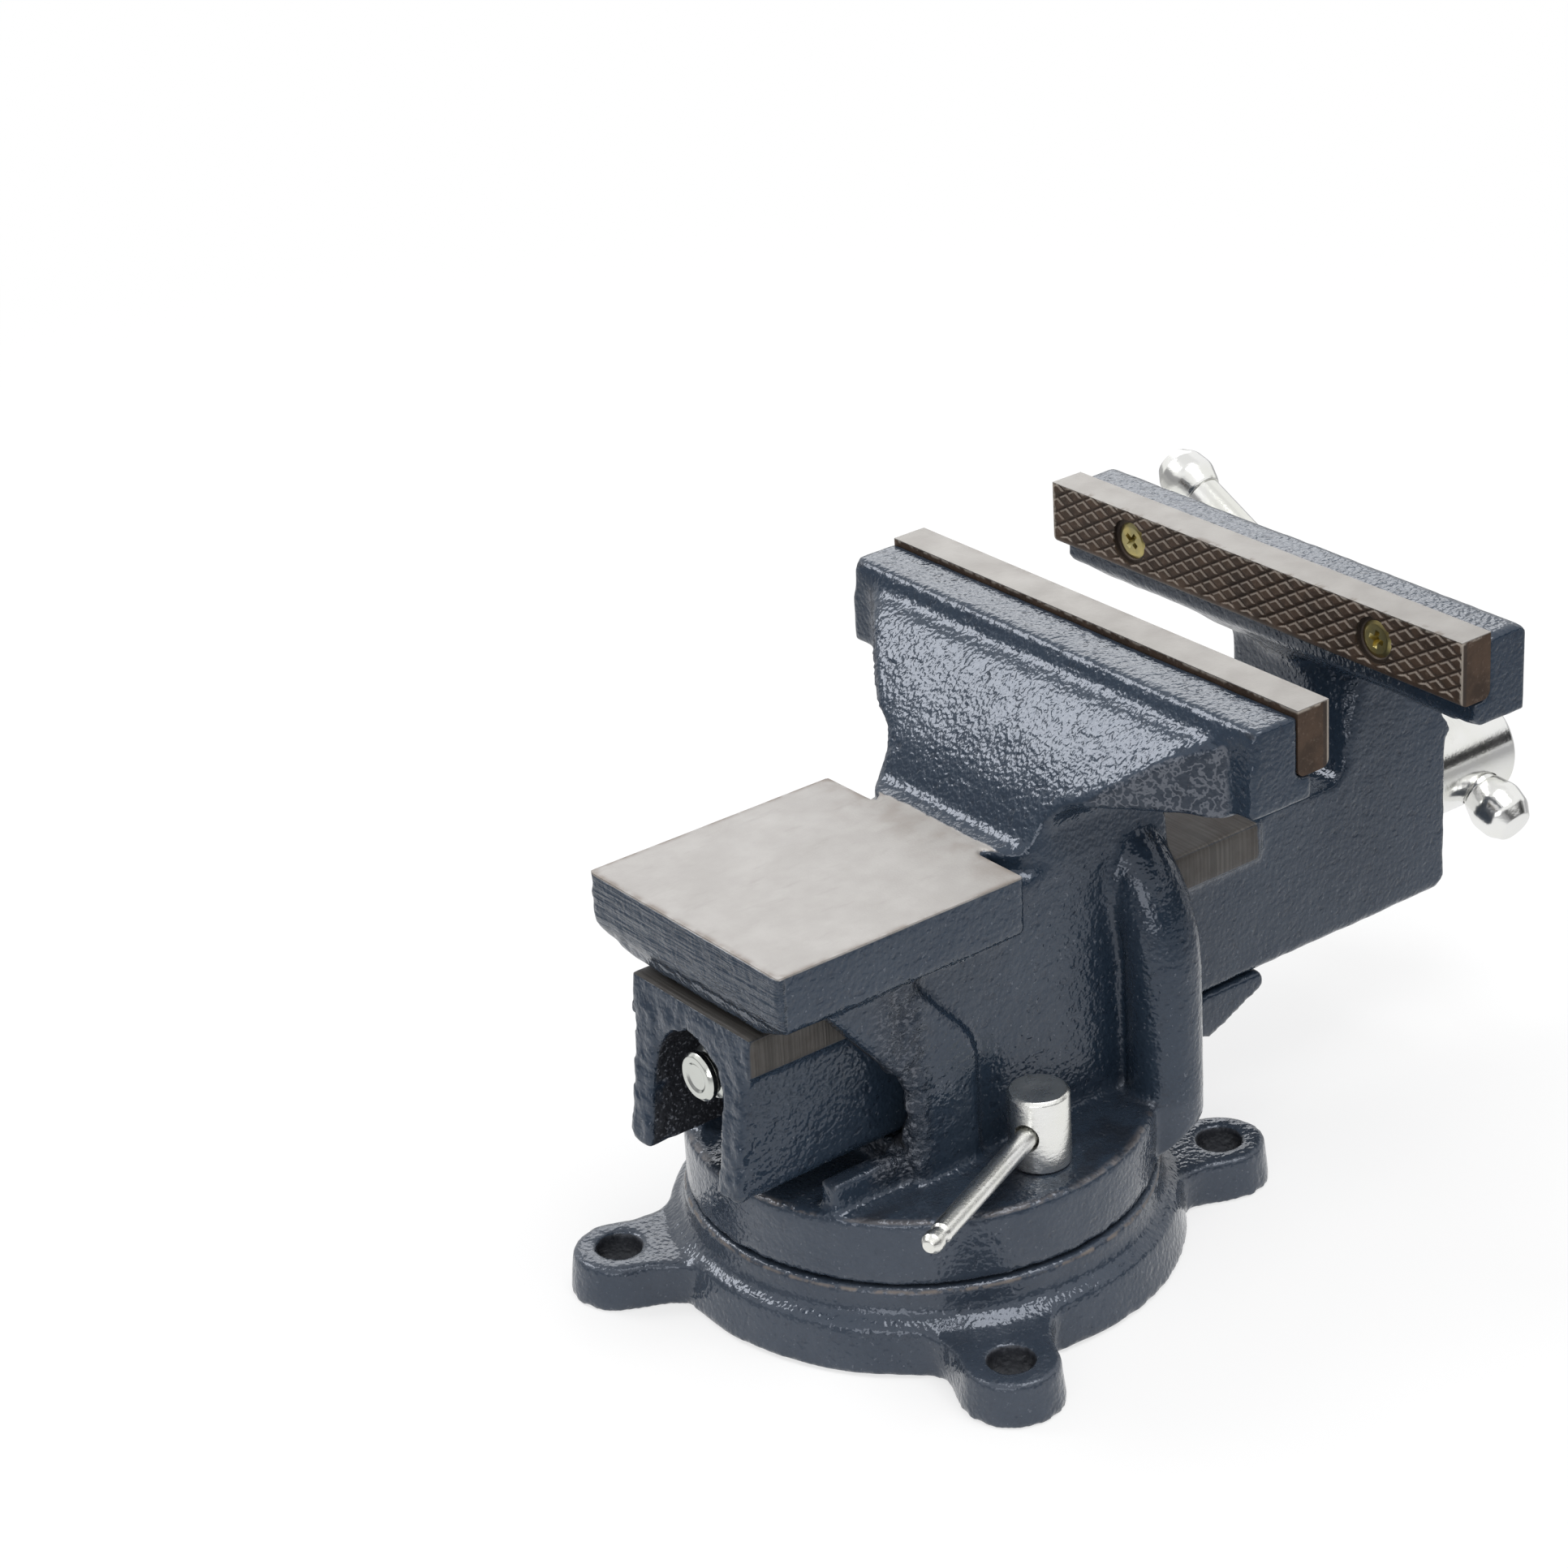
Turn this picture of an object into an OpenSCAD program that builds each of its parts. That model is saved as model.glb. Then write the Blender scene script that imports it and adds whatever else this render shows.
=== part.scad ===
// Swivel bench vise: a round base with bolt lugs carries a turning body with the fixed jaw and an anvil.
// A channel in the body guides the moving jaw, which a threaded spindle with a sliding bar pushes and pulls.
// Origin: swivel axis at the bench. +X runs from the anvil to the spindle handle, +Z is up. Millimetres.

/* [Base] */
// Radius of the base where it meets the bench
base_r = 67; // [65:0.5:76]
// Height of the base up to the swivel joint
base_h = 21; // [20:0.5:30]
// Height of the base's straight outer wall
base_wall_h = 12.5; // [11:0.5:14]
// How far the outer wall leans in towards its top
base_lean = 2.5; // [0:0.5:4]
// Thickness of a bolt lug
lug_h = 11.5; // [8:0.5:12]
// Distance from the swivel axis to a lug's bolt
lug_r = 79; // [76:0.5:92]
// Radius of a lug round its bolt hole
lug_end_r = 13; // [10:0.5:15]
// Radius of the blend between a lug and the round wall
lug_blend_r = 9; // [4:0.5:14]
// Radius of a lug's bolt hole
bolt_hole_r = 5.75; // [4:0.25:8]
// Turn of the first lug from the jaw direction at rest
lug_turn = -24; // [-40:1:0]
// Radius of the pivot spigot under the turning body
spigot_r = 15; // [13:0.5:18]
// Thickness of the base under the pivot and the lock groove
base_floor = 5.5; // [4:0.5:7]
// Thickness of the rim that the lock nuts pull against
groove_lip = 7; // [6:0.5:8]

/* [Turning body] */
// Radius of the turning disc
disc_r = 59.5; // [57:0.5:61]
// Thickness of the turning disc
disc_h = 18; // [15:0.5:24]
// Depth of the channel floor under the slide
floor_h = 7.7; // [6:0.1:12]
// Half width of the body walls
wall_y = 31; // [29:0.5:34]
// Front face of the body
front_x = 58; // [55:0.5:60]
// Rear face of the body walls below the slope
rear_x = -27; // [-32:0.5:-22]
// Height of the upright rear face above the disc
rear_h = 27; // [20:0.5:34]
// Width of the raised band along the rear edge
band_w = 20; // [14:0.5:24]
// How far the band stands out from the wall
band_proud = 2.5; // [0.5:0.25:3]
// Half width of the rounded rim round the front opening
rim_y = 48; // [45:0.5:50]
// Depth of the front rim along the slide
rim_t = 19; // [14:0.5:24]
// Radius of the bend at the top of the front columns
rim_bend_r = 44; // [38:0.5:47]
// How far the ledge under the slide reaches out of the front
ledge_out = 40; // [20:0.5:46]

/* [Anvil] */
// Length of the anvil
anvil_l = 74; // [60:0.5:80]
// Width of the anvil
anvil_w = 75.2; // [70:0.4:90]
// Thickness of the anvil block
anvil_t = 15.5; // [12:0.5:20]
// Front edge of the anvil
anvil_front_x = 6; // [0:0.5:10]
// Run of the rear slope under the anvil
rear_slope = 27; // [18:0.5:32]
// Metal between the slide channel and the underside of the anvil
roof_h = 6.4; // [5:0.2:10]

/* [Jaws] */
// Length of a jaw plate
jaw_w = 150; // [140:1:180]
// Height of a jaw plate
plate_h = 17.5; // [16:0.5:20]
// Thickness of a jaw plate
plate_t = 10; // [9:0.5:12]
// Gripping face of the fixed jaw plate
fixed_face_x = 69.5; // [67:0.5:72]
// Gap between the jaw plates at rest
jaw_gap = 44.5; // [20:0.5:80]
// Height of the jaw plates' top edge above the anvil
jaw_rise = 38; // [34:0.5:44]
// How far a jaw plate stands above its casting
plate_proud = 1.5; // [0.5:0.25:3]
// Depth of the casting below a jaw plate
head_skirt = 7; // [5:0.5:8]
// Thickness of the fixed jaw behind its plate
fixed_head_t = 14.5; // [12:0.5:18]
// Thickness of the moving jaw behind its plate
moving_head_t = 12.5; // [11:0.5:16]
// How far the casting reaches under a plate
plate_shelf = 5; // [3:0.5:7]
// Width of the square block at each end of a jaw
end_block = 8; // [7:0.5:18]
// Half width of the fixed jaw at its waist
waist_y = 29.5; // [26:0.5:30]

/* [Slide] */
// Width of the machined strips of the slide
slide_w = 47.4; // [46:0.2:50]
// Height of the slide
slide_h = 43.8; // [42:0.2:48]
// Height of the machined side strips
strip_h = 10.5; // [6:0.5:14]
// How far the cast sides lie behind the machined strips
strip_step = 1.7; // [0.5:0.1:2.5]
// Length of the slide behind the moving jaw's gripping face
slide_tail = 181; // [165:1:195]
// How far the slide's rear end leans out towards its foot
tail_lean = 6; // [0:0.5:8]
// Length of the slide in front of the gripping face
slide_nose = 50; // [46:0.5:60]
// Half width of the slide's hollow
hollow_y = 14; // [13.5:0.1:15]
// Height of the hollow above the slide's underside
hollow_h = 36; // [35.5:0.5:38]
// Thickness of the moving jaw's front wall
front_wall = 24; // [16:0.5:30]

/* [Spindle] */
// Radius of the spindle and its thread
spindle_r = 8; // [7:0.25:8.5]
// Height of the spindle axis above the slide's underside
spindle_rise = 24; // [23:0.25:24.5]
// Radius of the spindle head
head_r = 14.5; // [13:0.5:18]
// Length of the spindle head
head_l = 36; // [30:0.5:44]
// Distance from the head's front end to the bar
bar_inset = 12.5; // [11:0.5:16]
// Radius of the handle bar
bar_r = 5.5; // [4:0.25:6]
// Length between the middles of the handle knobs
bar_l = 137; // [110:1:170]
// Tilt of the bar above the level at rest
bar_tilt = 27; // [-60:1:80]
// Radius of a handle knob
knob_r = 8; // [7:0.25:10]
// Length of a handle knob
knob_l = 14; // [13:0.5:18]
// Length of the spindle nut
nut_l = 32; // [24:1:34]
// Distance of the spindle nut's middle in front of the swivel axis
nut_x = 38; // [34:0.5:39]

/* [Swivel locks] */
// Radius of a lock screw's head
lock_head_r = 7.75; // [7:0.25:9]
// Height of a lock screw's head
lock_head_h = 20; // [16:0.5:24]
// Gap between a lock screw's head and the body wall
lock_gap = 5.25; // [4:0.25:7]
// Radius of a lock screw's shank
lock_r = 5; // [4:0.25:5.5]
// How far the lock screws lie in front of the swivel axis
lock_x = 2.5; // [0:0.25:4]
// Radius of a lock lever
lever_r = 2.75; // [2:0.25:3]
// Reach of a lock lever from its screw's axis
lever_reach = 60; // [45:1:66]
// Length of a lock lever behind its screw's axis
lever_tail = 6; // [5:0.25:7]
// Turn of a lock lever from the slide's direction at rest
lever_turn = 24; // [16:1:70]

/* [Hidden] */
$fn = 64;

paint = [0.27, 0.30, 0.34];
steel = [0.72, 0.71, 0.68];
dark_steel = [0.36, 0.31, 0.27];
zinc = [0.80, 0.81, 0.78];
gold_zinc = [0.80, 0.66, 0.32];
iron = [0.40, 0.38, 0.36];

full_turn = 360;
half_turn = 180;
quarter_turn = 90;

// Clearances: slack between sliding castings, running fit of round pieces, slack of a loose hole
slack = 0.3;
run_fit = 0.06;
hole_slack = 0.3;
swivel_gap = 0.4;
// Overlap of solids that are one casting, and the overshoot of a cut
sink = 1;
past = 1;
edge_r = 1;
arc_steps = 6;

// Casting details: the wings that spread from a neck to its jaw, the neck's waist and its foot on the anvil
wing_drop = 4.9;
wing_under = 2;
wing_taper = 1.31;
wing_edge_r = 2;
shoulder_run = 3;
shoulder_r = 8;
waist_rise = 8.6;
waist_run = 13;
neck_run = 8;
neck_foot_r = 4;
rear_bend_r = 16;
rear_shoulder = 6;

// Heights
disc_z = base_h + swivel_gap;
disc_top = disc_z + disc_h;
channel_z = disc_top + floor_h;
slide_z = channel_z + slack;
slide_top = slide_z + slide_h;
channel_top = slide_top + slack;
anvil_z = channel_top + roof_h;
anvil_top = anvil_z + anvil_t;
plate_top = anvil_top + jaw_rise;
plate_z = plate_top - plate_h;
plate_mid_z = plate_z + plate_h / 2;
head_top = plate_top - plate_proud;
head_z = plate_z - head_skirt;
wing_top = head_top - wing_drop;
wing_z = head_z - wing_under;
axis_z = slide_z + spindle_rise;
waist_z = anvil_top + waist_rise;

// Lengths
fixed_seat_x = fixed_face_x - plate_t;
fixed_back_x = fixed_seat_x - fixed_head_t;
moving_face_x = fixed_face_x + jaw_gap;
moving_seat_x = moving_face_x + plate_t;
moving_front_x = moving_seat_x + moving_head_t;
nose_x = moving_face_x + slide_nose;
tail_x = moving_face_x - slide_tail;
anvil_rear_x = anvil_front_x - anvil_l;
channel_y = slide_w / 2 + slack;
cast_side_y = slide_w / 2 - strip_step;
wing_y = jaw_w / 2 - end_block;
body_front_x = front_x + plate_shelf;

// Jaw plate fixings
screw_spread = 0.3;
screw_y = jaw_w * screw_spread;
screw_r = 2.5;
screw_head_r = 5.1;
screw_head_h = 2.8;
screw_sink = 1.2;
screw_l = 20;
counterbore_r = 6.2;
plate_corner_r = 2.2;
phillips_w = 1.4;
phillips_l = 5.6;
phillips_depth = 1.6;

// Bolt lugs, one quarter turn and one half turn from the first
lug_turns = [0, -quarter_turn, half_turn];

// Swivel locks
lock_y = wall_y + lock_gap + lock_head_r;
lock_circle = norm([lock_x, lock_y]);
lock_nut_half = 8;
lock_nut_h = base_h - groove_lip - base_floor - 2 * slack;
lock_nut_z = base_floor + slack;
groove_slack = 1;
groove_half = lock_nut_half + groove_slack;
groove_neck = lock_r + groove_slack;
lock_hole_z = disc_top + lock_head_h / 2;

// Spindle fixings
head_x = nose_x + slack;
head_end_x = head_x + head_l;
bar_x = head_end_x - bar_inset;
spindle_end_x = tail_x;
spindle_tip_l = 9;
thread_depth = 1.5;
spindle_tip_r = spindle_r - thread_depth;
washer_t = 3;
washer_r = 11;
pin_r = 2;
pin_l = 21;
hollow_end_x = nose_x - front_wall;
washer_x = hollow_end_x - slack - washer_t;
pin_x = washer_x - slack - pin_r;
knob_stop = head_r + knob_l / 2 + slack;
bar_step = 1.5;
bar_spigot_r = bar_r - bar_step;
bar_spigot_l = knob_l * 0.7;
bar_half = bar_l / 2 - knob_l / 2;
nut_r = 11.2;
nut_foot_y = 11;
bolt_r = 4;
bolt_head_r = 6.5;
bolt_head_h = 7.8;
bolt_reach = 10;
bolt_washer_t = 1.6;
spigot_l = base_h - base_floor - 2 * slack;
bolt_sink = 2;
bolt_seat_z = disc_z + bolt_head_h + bolt_washer_t + bolt_sink;

// An arc that rounds corner b between its neighbours a and c
function unit(v) = v / norm(v);
function corner_arc(a, b, c, r) =
    let(
        u = unit(a - b),
        v = unit(c - b),
        half = acos(u * v) / 2,
        p = b + u * r / tan(half),
        q = b + v * r / tan(half),
        m = b + unit(u + v) * r / sin(half),
        start = atan2(p.y - m.y, p.x - m.x),
        sweep = (atan2(q.y - m.y, q.x - m.x) - start + full_turn + half_turn) % full_turn - half_turn
    )
    [for (i = [0 : arc_steps])
        let(turn = start + sweep * i / arc_steps)
        m + r * [cos(turn), sin(turn)]];

function flat2(p) = [p[0], p[1]];

// Outline whose corners are [x, y] or, with a round corner, [x, y, radius]
function rounded(points) =
    let(n = len(points))
    [for (i = [0 : n - 1])
        let(b = points[i], a = points[(i + n - 1) % n], c = points[(i + 1) % n])
        each len(b) == 2 ? [b] : corner_arc(flat2(a), flat2(b), flat2(c), b[2])];

// Half outline and its mirror image as one closed outline across Y
function mirrored(point) = [for (k = [0 : len(point) - 1]) k == 0 ? -point[0] : point[k]];
function both_sides(half) = concat(half, [for (i = [len(half) - 1 : -1 : 0]) mirrored(half[i])]);

// Plan of a jaw's wings: as wide as the wings up to the jaw's back, then tapering to the neck or to end_x
module wing_plan(jaw_x, back_x, neck_y, end_x) {
    dir = sign(end_x - back_x);
    taper = min((wing_y - neck_y) / wing_taper, abs(end_x - back_x));
    tip_x = back_x + dir * taper;
    tip_y = wing_y - taper * wing_taper;
    linear_extrude(head_top)
        polygon([
            [jaw_x, -wing_y], [back_x, -wing_y], [tip_x, -tip_y], [tip_x, tip_y], [back_x, wing_y],
            [jaw_x, wing_y]
        ]);
}

// A side outline (x, z) carried across the width
module across(width, points) {
    rotate([quarter_turn, 0, 0])
        linear_extrude(width, center = true)
            polygon(rounded(points));
}

// An end outline (y, z) carried from x0 to x1
module along(x0, x1, points) {
    translate([x0, 0, 0])
        rotate([quarter_turn, 0, quarter_turn])
            linear_extrude(x1 - x0)
                polygon(rounded(points));
}

// A cylinder along X from x0 to x1
module rod_x(r, x0, x1, z) {
    translate([x0, 0, z])
        rotate([0, quarter_turn, 0])
            cylinder(r = r, h = x1 - x0);
}

// A cylinder across Y
module rod_y(r, length, x, z) {
    translate([x, 0, z])
        rotate([quarter_turn, 0, 0])
            cylinder(r = r, h = length, center = true);
}

module lug(turn) {
    flare = lug_end_r + lug_blend_r;
    root_r = base_r - lug_blend_r;
    rotate(turn)
        linear_extrude(lug_h) {
            translate([lug_r, 0])
                circle(lug_end_r);
            polygon(rounded([
                [root_r, -flare], [base_r, -lug_end_r, lug_blend_r], [lug_r, -lug_end_r],
                [lug_r, lug_end_r], [base_r, lug_end_r, lug_blend_r], [root_r, flare]
            ]));
        }
}

module base_solid() {
    top_r = disc_r + edge_r;
    ridge_r = base_r - base_lean;
    ridge_round = 1.5;
    hollow_r = 4;
    rotate_extrude()
        polygon(rounded([
            [0, 0], [base_r, 0, edge_r], [ridge_r, base_wall_h, ridge_round],
            [top_r, base_wall_h + ridge_round, hollow_r], [top_r, base_h, edge_r], [0, base_h]
        ]));
    for (turn = lug_turns)
        lug(lug_turn + turn);
}

module base() {
    color(paint)
        difference() {
            base_solid();
            translate([0, 0, base_floor])
                cylinder(r = spigot_r + run_fit, h = base_h);
            translate([0, 0, base_floor])
                difference() {
                    cylinder(r = lock_circle + groove_half, h = base_h - groove_lip - base_floor);
                    cylinder(r = lock_circle - groove_half, h = base_h);
                }
            translate([0, 0, base_floor])
                difference() {
                    cylinder(r = lock_circle + groove_neck, h = base_h);
                    cylinder(r = lock_circle - groove_neck, h = base_h);
                }
            rotate(lug_turn + quarter_turn)
                translate([lock_circle, 0, -past])
                    cylinder(r = groove_half + groove_slack, h = base_floor + 2 * past);
            for (turn = lug_turns)
                rotate(lug_turn + turn)
                    translate([lug_r, 0, -past])
                        cylinder(r = bolt_hole_r, h = lug_h + 2 * past);
        }
}

// Side outline of the body from the disc up to the fixed jaw, with the sloping rear of the neck
module body_outline(width) {
    under_jaw_r = 16;
    waist_r = 40;
    across(width, [
        [front_x, disc_top - sink], [front_x, anvil_top, under_jaw_r],
        [fixed_seat_x + plate_shelf - sink, head_z + sink], [fixed_seat_x - sink, head_z + 2 * sink],
        [fixed_seat_x - sink, head_top - sink], [fixed_back_x + sink, wing_top],
        [fixed_back_x - shoulder_run, wing_top, shoulder_r], [anvil_front_x + waist_run, waist_z, waist_r],
        [anvil_front_x + neck_run, anvil_top, neck_foot_r],
        [anvil_front_x - sink, anvil_top], [anvil_front_x - sink, anvil_z + sink],
        [rear_x - rear_slope, anvil_z + sink], [rear_x, disc_top + rear_h, rear_bend_r],
        [rear_x, disc_top - sink]
    ]);
}

// Upright of the body: straight walls below, a rounded neck and the spreading wings of the fixed jaw above
module body_upright() {
    neck_round = 14;
    neck_inset = 2;
    neck_drop = 6;
    neck_shoulder_r = 8;
    waist_blend_r = 3;
    wing_blend_r = 9;
    intersection() {
        body_outline(2 * wall_y);
        along(anvil_rear_x, body_front_x, both_sides([
            [wall_y, disc_top - sink], [wall_y, anvil_top - neck_drop, neck_shoulder_r],
            [waist_y, waist_z, waist_blend_r], [waist_y, wing_z + sink]
        ]));
        union() {
            translate([anvil_rear_x, -wall_y, 0])
                cube([body_front_x - anvil_rear_x, 2 * wall_y, anvil_top - neck_drop]);
            linear_extrude(plate_top)
                polygon(rounded([
                    [anvil_front_x + neck_inset, -wall_y, neck_round], [body_front_x, -wall_y],
                    [body_front_x, wall_y], [anvil_front_x + neck_inset, wall_y, neck_round]
                ]));
        }
    }
    intersection() {
        body_outline(jaw_w);
        along(anvil_front_x, body_front_x, both_sides([
            [waist_y, wing_z - 2 * wing_blend_r], [waist_y, wing_z, wing_blend_r],
            [wing_y, wing_z, wing_edge_r], [wing_y, head_top - sink]
        ]));
        wing_plan(body_front_x, fixed_back_x, waist_y, anvil_front_x);
    }
}

module rear_band() {
    band_spread = 1.2;
    across(2 * (wall_y + band_proud), [
        [rear_x, disc_top - sink], [rear_x, disc_top + rear_h, rear_bend_r],
        [rear_x - rear_slope, anvil_z + sink], [rear_x - rear_slope + band_w * band_spread, anvil_z + sink],
        [rear_x + band_w, disc_top + rear_h + rear_shoulder, rear_bend_r], [rear_x + band_w, disc_top - sink]
    ]);
}

// Anvil block whose underside runs down towards the roof of the slide channel
module anvil() {
    under_z = channel_top + sink;
    under_r = 2;
    rear_rise = 4;
    rear_r = 6;
    rear_lean = 3.5;
    intersection() {
        along(anvil_rear_x, anvil_front_x, both_sides([
            [channel_y + sink, under_z, under_r], [anvil_w / 2, anvil_z, under_r], [anvil_w / 2, anvil_top]
        ]));
        across(anvil_w, [
            [anvil_front_x, under_z], [anvil_front_x, anvil_top], [anvil_rear_x, anvil_top],
            [anvil_rear_x, anvil_z + rear_rise, rear_r], [anvil_rear_x + rear_lean, under_z]
        ]);
    }
}

// Square cut bar of a jaw with the seat for its plate; dir is 1 where the plate faces +X
module jaw_head(seat_x, thick, dir) {
    back_r = 2.5;
    lip_r = 2;
    back_x = seat_x - dir * thick;
    lip_x = seat_x + dir * plate_shelf;
    across(jaw_w, [
        [back_x, head_z], [back_x, head_top, back_r], [seat_x, head_top], [seat_x, plate_z], [lip_x, plate_z],
        [lip_x, head_z, lip_r]
    ]);
}

// Rim round the front opening: two stout round columns on the disc that bend in over the slide
module front_rim() {
    tube_r = rim_t / 2;
    tube_x = front_x - tube_r;
    foot_z = disc_z + 3 * swivel_gap;
    bend_y = rim_y - rim_bend_r;
    bend_drop = 24;
    bend_z = anvil_z - bend_drop;
    bend_turn = 58;
    web_inset = 4;
    web_top_z = anvil_top - web_inset;
    web_top_r = 8;
    along(front_x - rim_t + web_inset, front_x, both_sides([
        [rim_y - tube_r, foot_z], [rim_y - tube_r, anvil_z - tube_r, rim_bend_r - tube_r],
        [waist_y - tube_r / 2, web_top_z, web_top_r]
    ]));
    for (side = [0, 1])
        mirror([0, side, 0]) {
            translate([tube_x, rim_y - tube_r, foot_z])
                cylinder(r = tube_r, h = bend_z - foot_z);
            translate([tube_x, bend_y, bend_z])
                rotate([quarter_turn, 0, quarter_turn])
                    rotate_extrude(angle = bend_turn)
                        translate([rim_bend_r - tube_r, 0])
                            circle(tube_r);
        }
}

// Ledge that carries the slide in front of the body, and the low guides behind it
module slide_supports() {
    guide_l = 23;
    guide_w = 6;
    tip_h = 5;
    tip_r = 1.5;
    root_rise = 4;
    root_run = 2;
    across(2 * cast_side_y, [
        [front_x - sink, channel_z], [front_x + ledge_out, channel_z, tip_r],
        [front_x + ledge_out, channel_z - tip_h, tip_r], [front_x + root_run, disc_z + root_rise],
        [front_x - sink, disc_z + root_rise]
    ]);
    for (side = [-1, 1])
        translate([rear_x - guide_l, side * (channel_y + guide_w / 2) - guide_w / 2, disc_top - sink])
            cube([guide_l + sink, guide_w, floor_h + sink]);
}

module jaw_screw_holes(seat_x, dir) {
    for (side = [-1, 1])
        translate([seat_x, side * screw_y, plate_mid_z])
            rotate([0, -dir * quarter_turn, 0])
                translate([0, 0, -past])
                    cylinder(r = screw_r + run_fit, h = screw_l - plate_t + 2 * past);
}

module fixed_jaw() {
    color(paint)
        difference() {
            union() {
                translate([0, 0, disc_z])
                    rotate_extrude()
                        polygon(rounded([
                            [0, 0], [disc_r, 0, edge_r], [disc_r, disc_h, edge_r], [0, disc_h]
                        ]));
                translate([0, 0, disc_z - spigot_l])
                    cylinder(r = spigot_r, h = spigot_l + sink);
                body_upright();
                rear_band();
                anvil();
                jaw_head(fixed_seat_x, fixed_head_t, 1);
                front_rim();
                slide_supports();
            }
            translate([anvil_rear_x - past, -channel_y, channel_z])
                cube([front_x + ledge_out - anvil_rear_x + 2 * past, 2 * channel_y, channel_top - channel_z]);
            jaw_screw_holes(fixed_seat_x, 1);
            for (side = [-1, 1])
                translate([lock_x, side * lock_y, disc_z - past])
                    cylinder(r = lock_r + hole_slack, h = disc_h + 2 * past);
            translate([nut_x, 0, disc_z - past])
                cylinder(r = bolt_r + hole_slack, h = channel_z - disc_z + 2 * past);
            translate([nut_x, 0, disc_z - past])
                cylinder(r = bolt_head_r + hole_slack, h = bolt_seat_z - disc_z + past);
        }
}

// Jaw plate with its lower edges rounded and countersunk, counterbored screw holes
module jaw_plate(seat_x, dir) {
    face_x = seat_x + dir * plate_t;
    difference() {
        across(jaw_w, [
            [seat_x, plate_z, plate_corner_r], [seat_x, plate_top], [face_x, plate_top],
            [face_x, plate_z, plate_corner_r]
        ]);
        for (side = [-1, 1])
            translate([face_x, side * screw_y, plate_mid_z])
                rotate([0, -dir * quarter_turn, 0]) {
                    translate([0, 0, -past])
                        cylinder(r = counterbore_r, h = screw_sink + past);
                    translate([0, 0, screw_sink - run_fit])
                        cylinder(r1 = screw_head_r + run_fit, r2 = screw_r + run_fit, h = screw_head_h);
                    translate([0, 0, -past])
                        cylinder(r = screw_r + run_fit, h = plate_t + 2 * past);
                }
    }
}

module fixed_jaw_plate() {
    color(dark_steel)
        jaw_plate(fixed_seat_x, 1);
}

module moving_jaw_plate() {
    color(dark_steel)
        jaw_plate(moving_seat_x, -1);
}

// Countersunk cross-slot screws that hold a jaw plate
module plate_screws(seat_x, dir) {
    for (side = [-1, 1])
        translate([seat_x + dir * (plate_t - screw_sink), side * screw_y, plate_mid_z])
            rotate([0, -dir * quarter_turn, 0])
                difference() {
                    union() {
                        cylinder(r1 = screw_head_r, r2 = screw_r, h = screw_head_h);
                        cylinder(r = screw_r, h = screw_l - screw_sink);
                    }
                    for (turn = [0, quarter_turn])
                        rotate(turn)
                            translate([-phillips_l / 2, -phillips_w / 2, -past])
                                cube([phillips_l, phillips_w, phillips_depth + past]);
                }
}

module fixed_plate_screws() {
    color(gold_zinc)
        plate_screws(fixed_seat_x, 1);
}

module moving_plate_screws() {
    color(gold_zinc)
        plate_screws(moving_seat_x, -1);
}

// Threaded block that stands on the channel floor inside the slide's hollow
module spindle_nut() {
    color(iron)
        difference() {
            union() {
                rod_x(nut_r, nut_x - nut_l / 2, nut_x + nut_l / 2, axis_z);
                translate([nut_x - nut_l / 2, -nut_foot_y, channel_z])
                    cube([nut_l, 2 * nut_foot_y, axis_z - channel_z]);
            }
            rod_x(spindle_r + run_fit, nut_x - nut_l / 2 - past, nut_x + nut_l / 2 + past, axis_z);
            translate([nut_x, 0, channel_z - past])
                cylinder(r = bolt_r + run_fit, h = bolt_reach + 2 * past);
        }
}

// Cap screw from under the disc that holds the spindle nut
module nut_bolt() {
    head_seat = bolt_seat_z - bolt_washer_t;
    socket_r = bolt_r * 0.8;
    socket_sides = 6;
    color(zinc)
        difference() {
            union() {
                translate([nut_x, 0, head_seat - bolt_head_h])
                    cylinder(r = bolt_head_r - hole_slack, h = bolt_head_h);
                translate([nut_x, 0, head_seat - sink])
                    cylinder(r = bolt_r, h = channel_z + bolt_reach - head_seat + sink);
            }
            translate([nut_x, 0, head_seat - bolt_head_h - past])
                cylinder(r = socket_r, h = bolt_head_h / 2 + past, $fn = socket_sides);
        }
}

module nut_washer() {
    color(zinc)
        translate([nut_x, 0, bolt_seat_z - bolt_washer_t])
            difference() {
                cylinder(r = bolt_head_r, h = bolt_washer_t);
                translate([0, 0, -past])
                    cylinder(r = bolt_r + run_fit, h = bolt_washer_t + 2 * past);
            }
}

// Nut that slides in the base's groove under a lock screw
module lock_nut(side) {
    color(iron)
        translate([lock_x, side * lock_y, lock_nut_z])
            rotate(atan2(side * lock_y, lock_x))
                difference() {
                    translate([-lock_nut_half, -lock_nut_half, 0])
                        cube([2 * lock_nut_half, 2 * lock_nut_half, lock_nut_h]);
                    translate([0, 0, -past])
                        cylinder(r = lock_r + run_fit, h = lock_nut_h + 2 * past);
                }
}

module lock_nut_right() {
    lock_nut(-1);
}

module lock_nut_left() {
    lock_nut(1);
}

// Lock screw with a plain round head, cross-drilled for its lever
module lock_screw(side, turn) {
    color(zinc)
        translate([lock_x, side * lock_y, 0])
            difference() {
                union() {
                    translate([0, 0, disc_top + run_fit])
                        rotate_extrude()
                            polygon(rounded([
                                [0, 0], [lock_head_r, 0, edge_r], [lock_head_r, lock_head_h, edge_r],
                                [0, lock_head_h]
                            ]));
                    translate([0, 0, lock_nut_z])
                        cylinder(r = lock_r, h = disc_top - lock_nut_z + sink);
                }
                translate([0, 0, lock_hole_z])
                    rotate([0, quarter_turn, turn])
                        cylinder(r = lever_r + run_fit, h = 3 * lock_head_r, center = true);
            }
}

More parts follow.
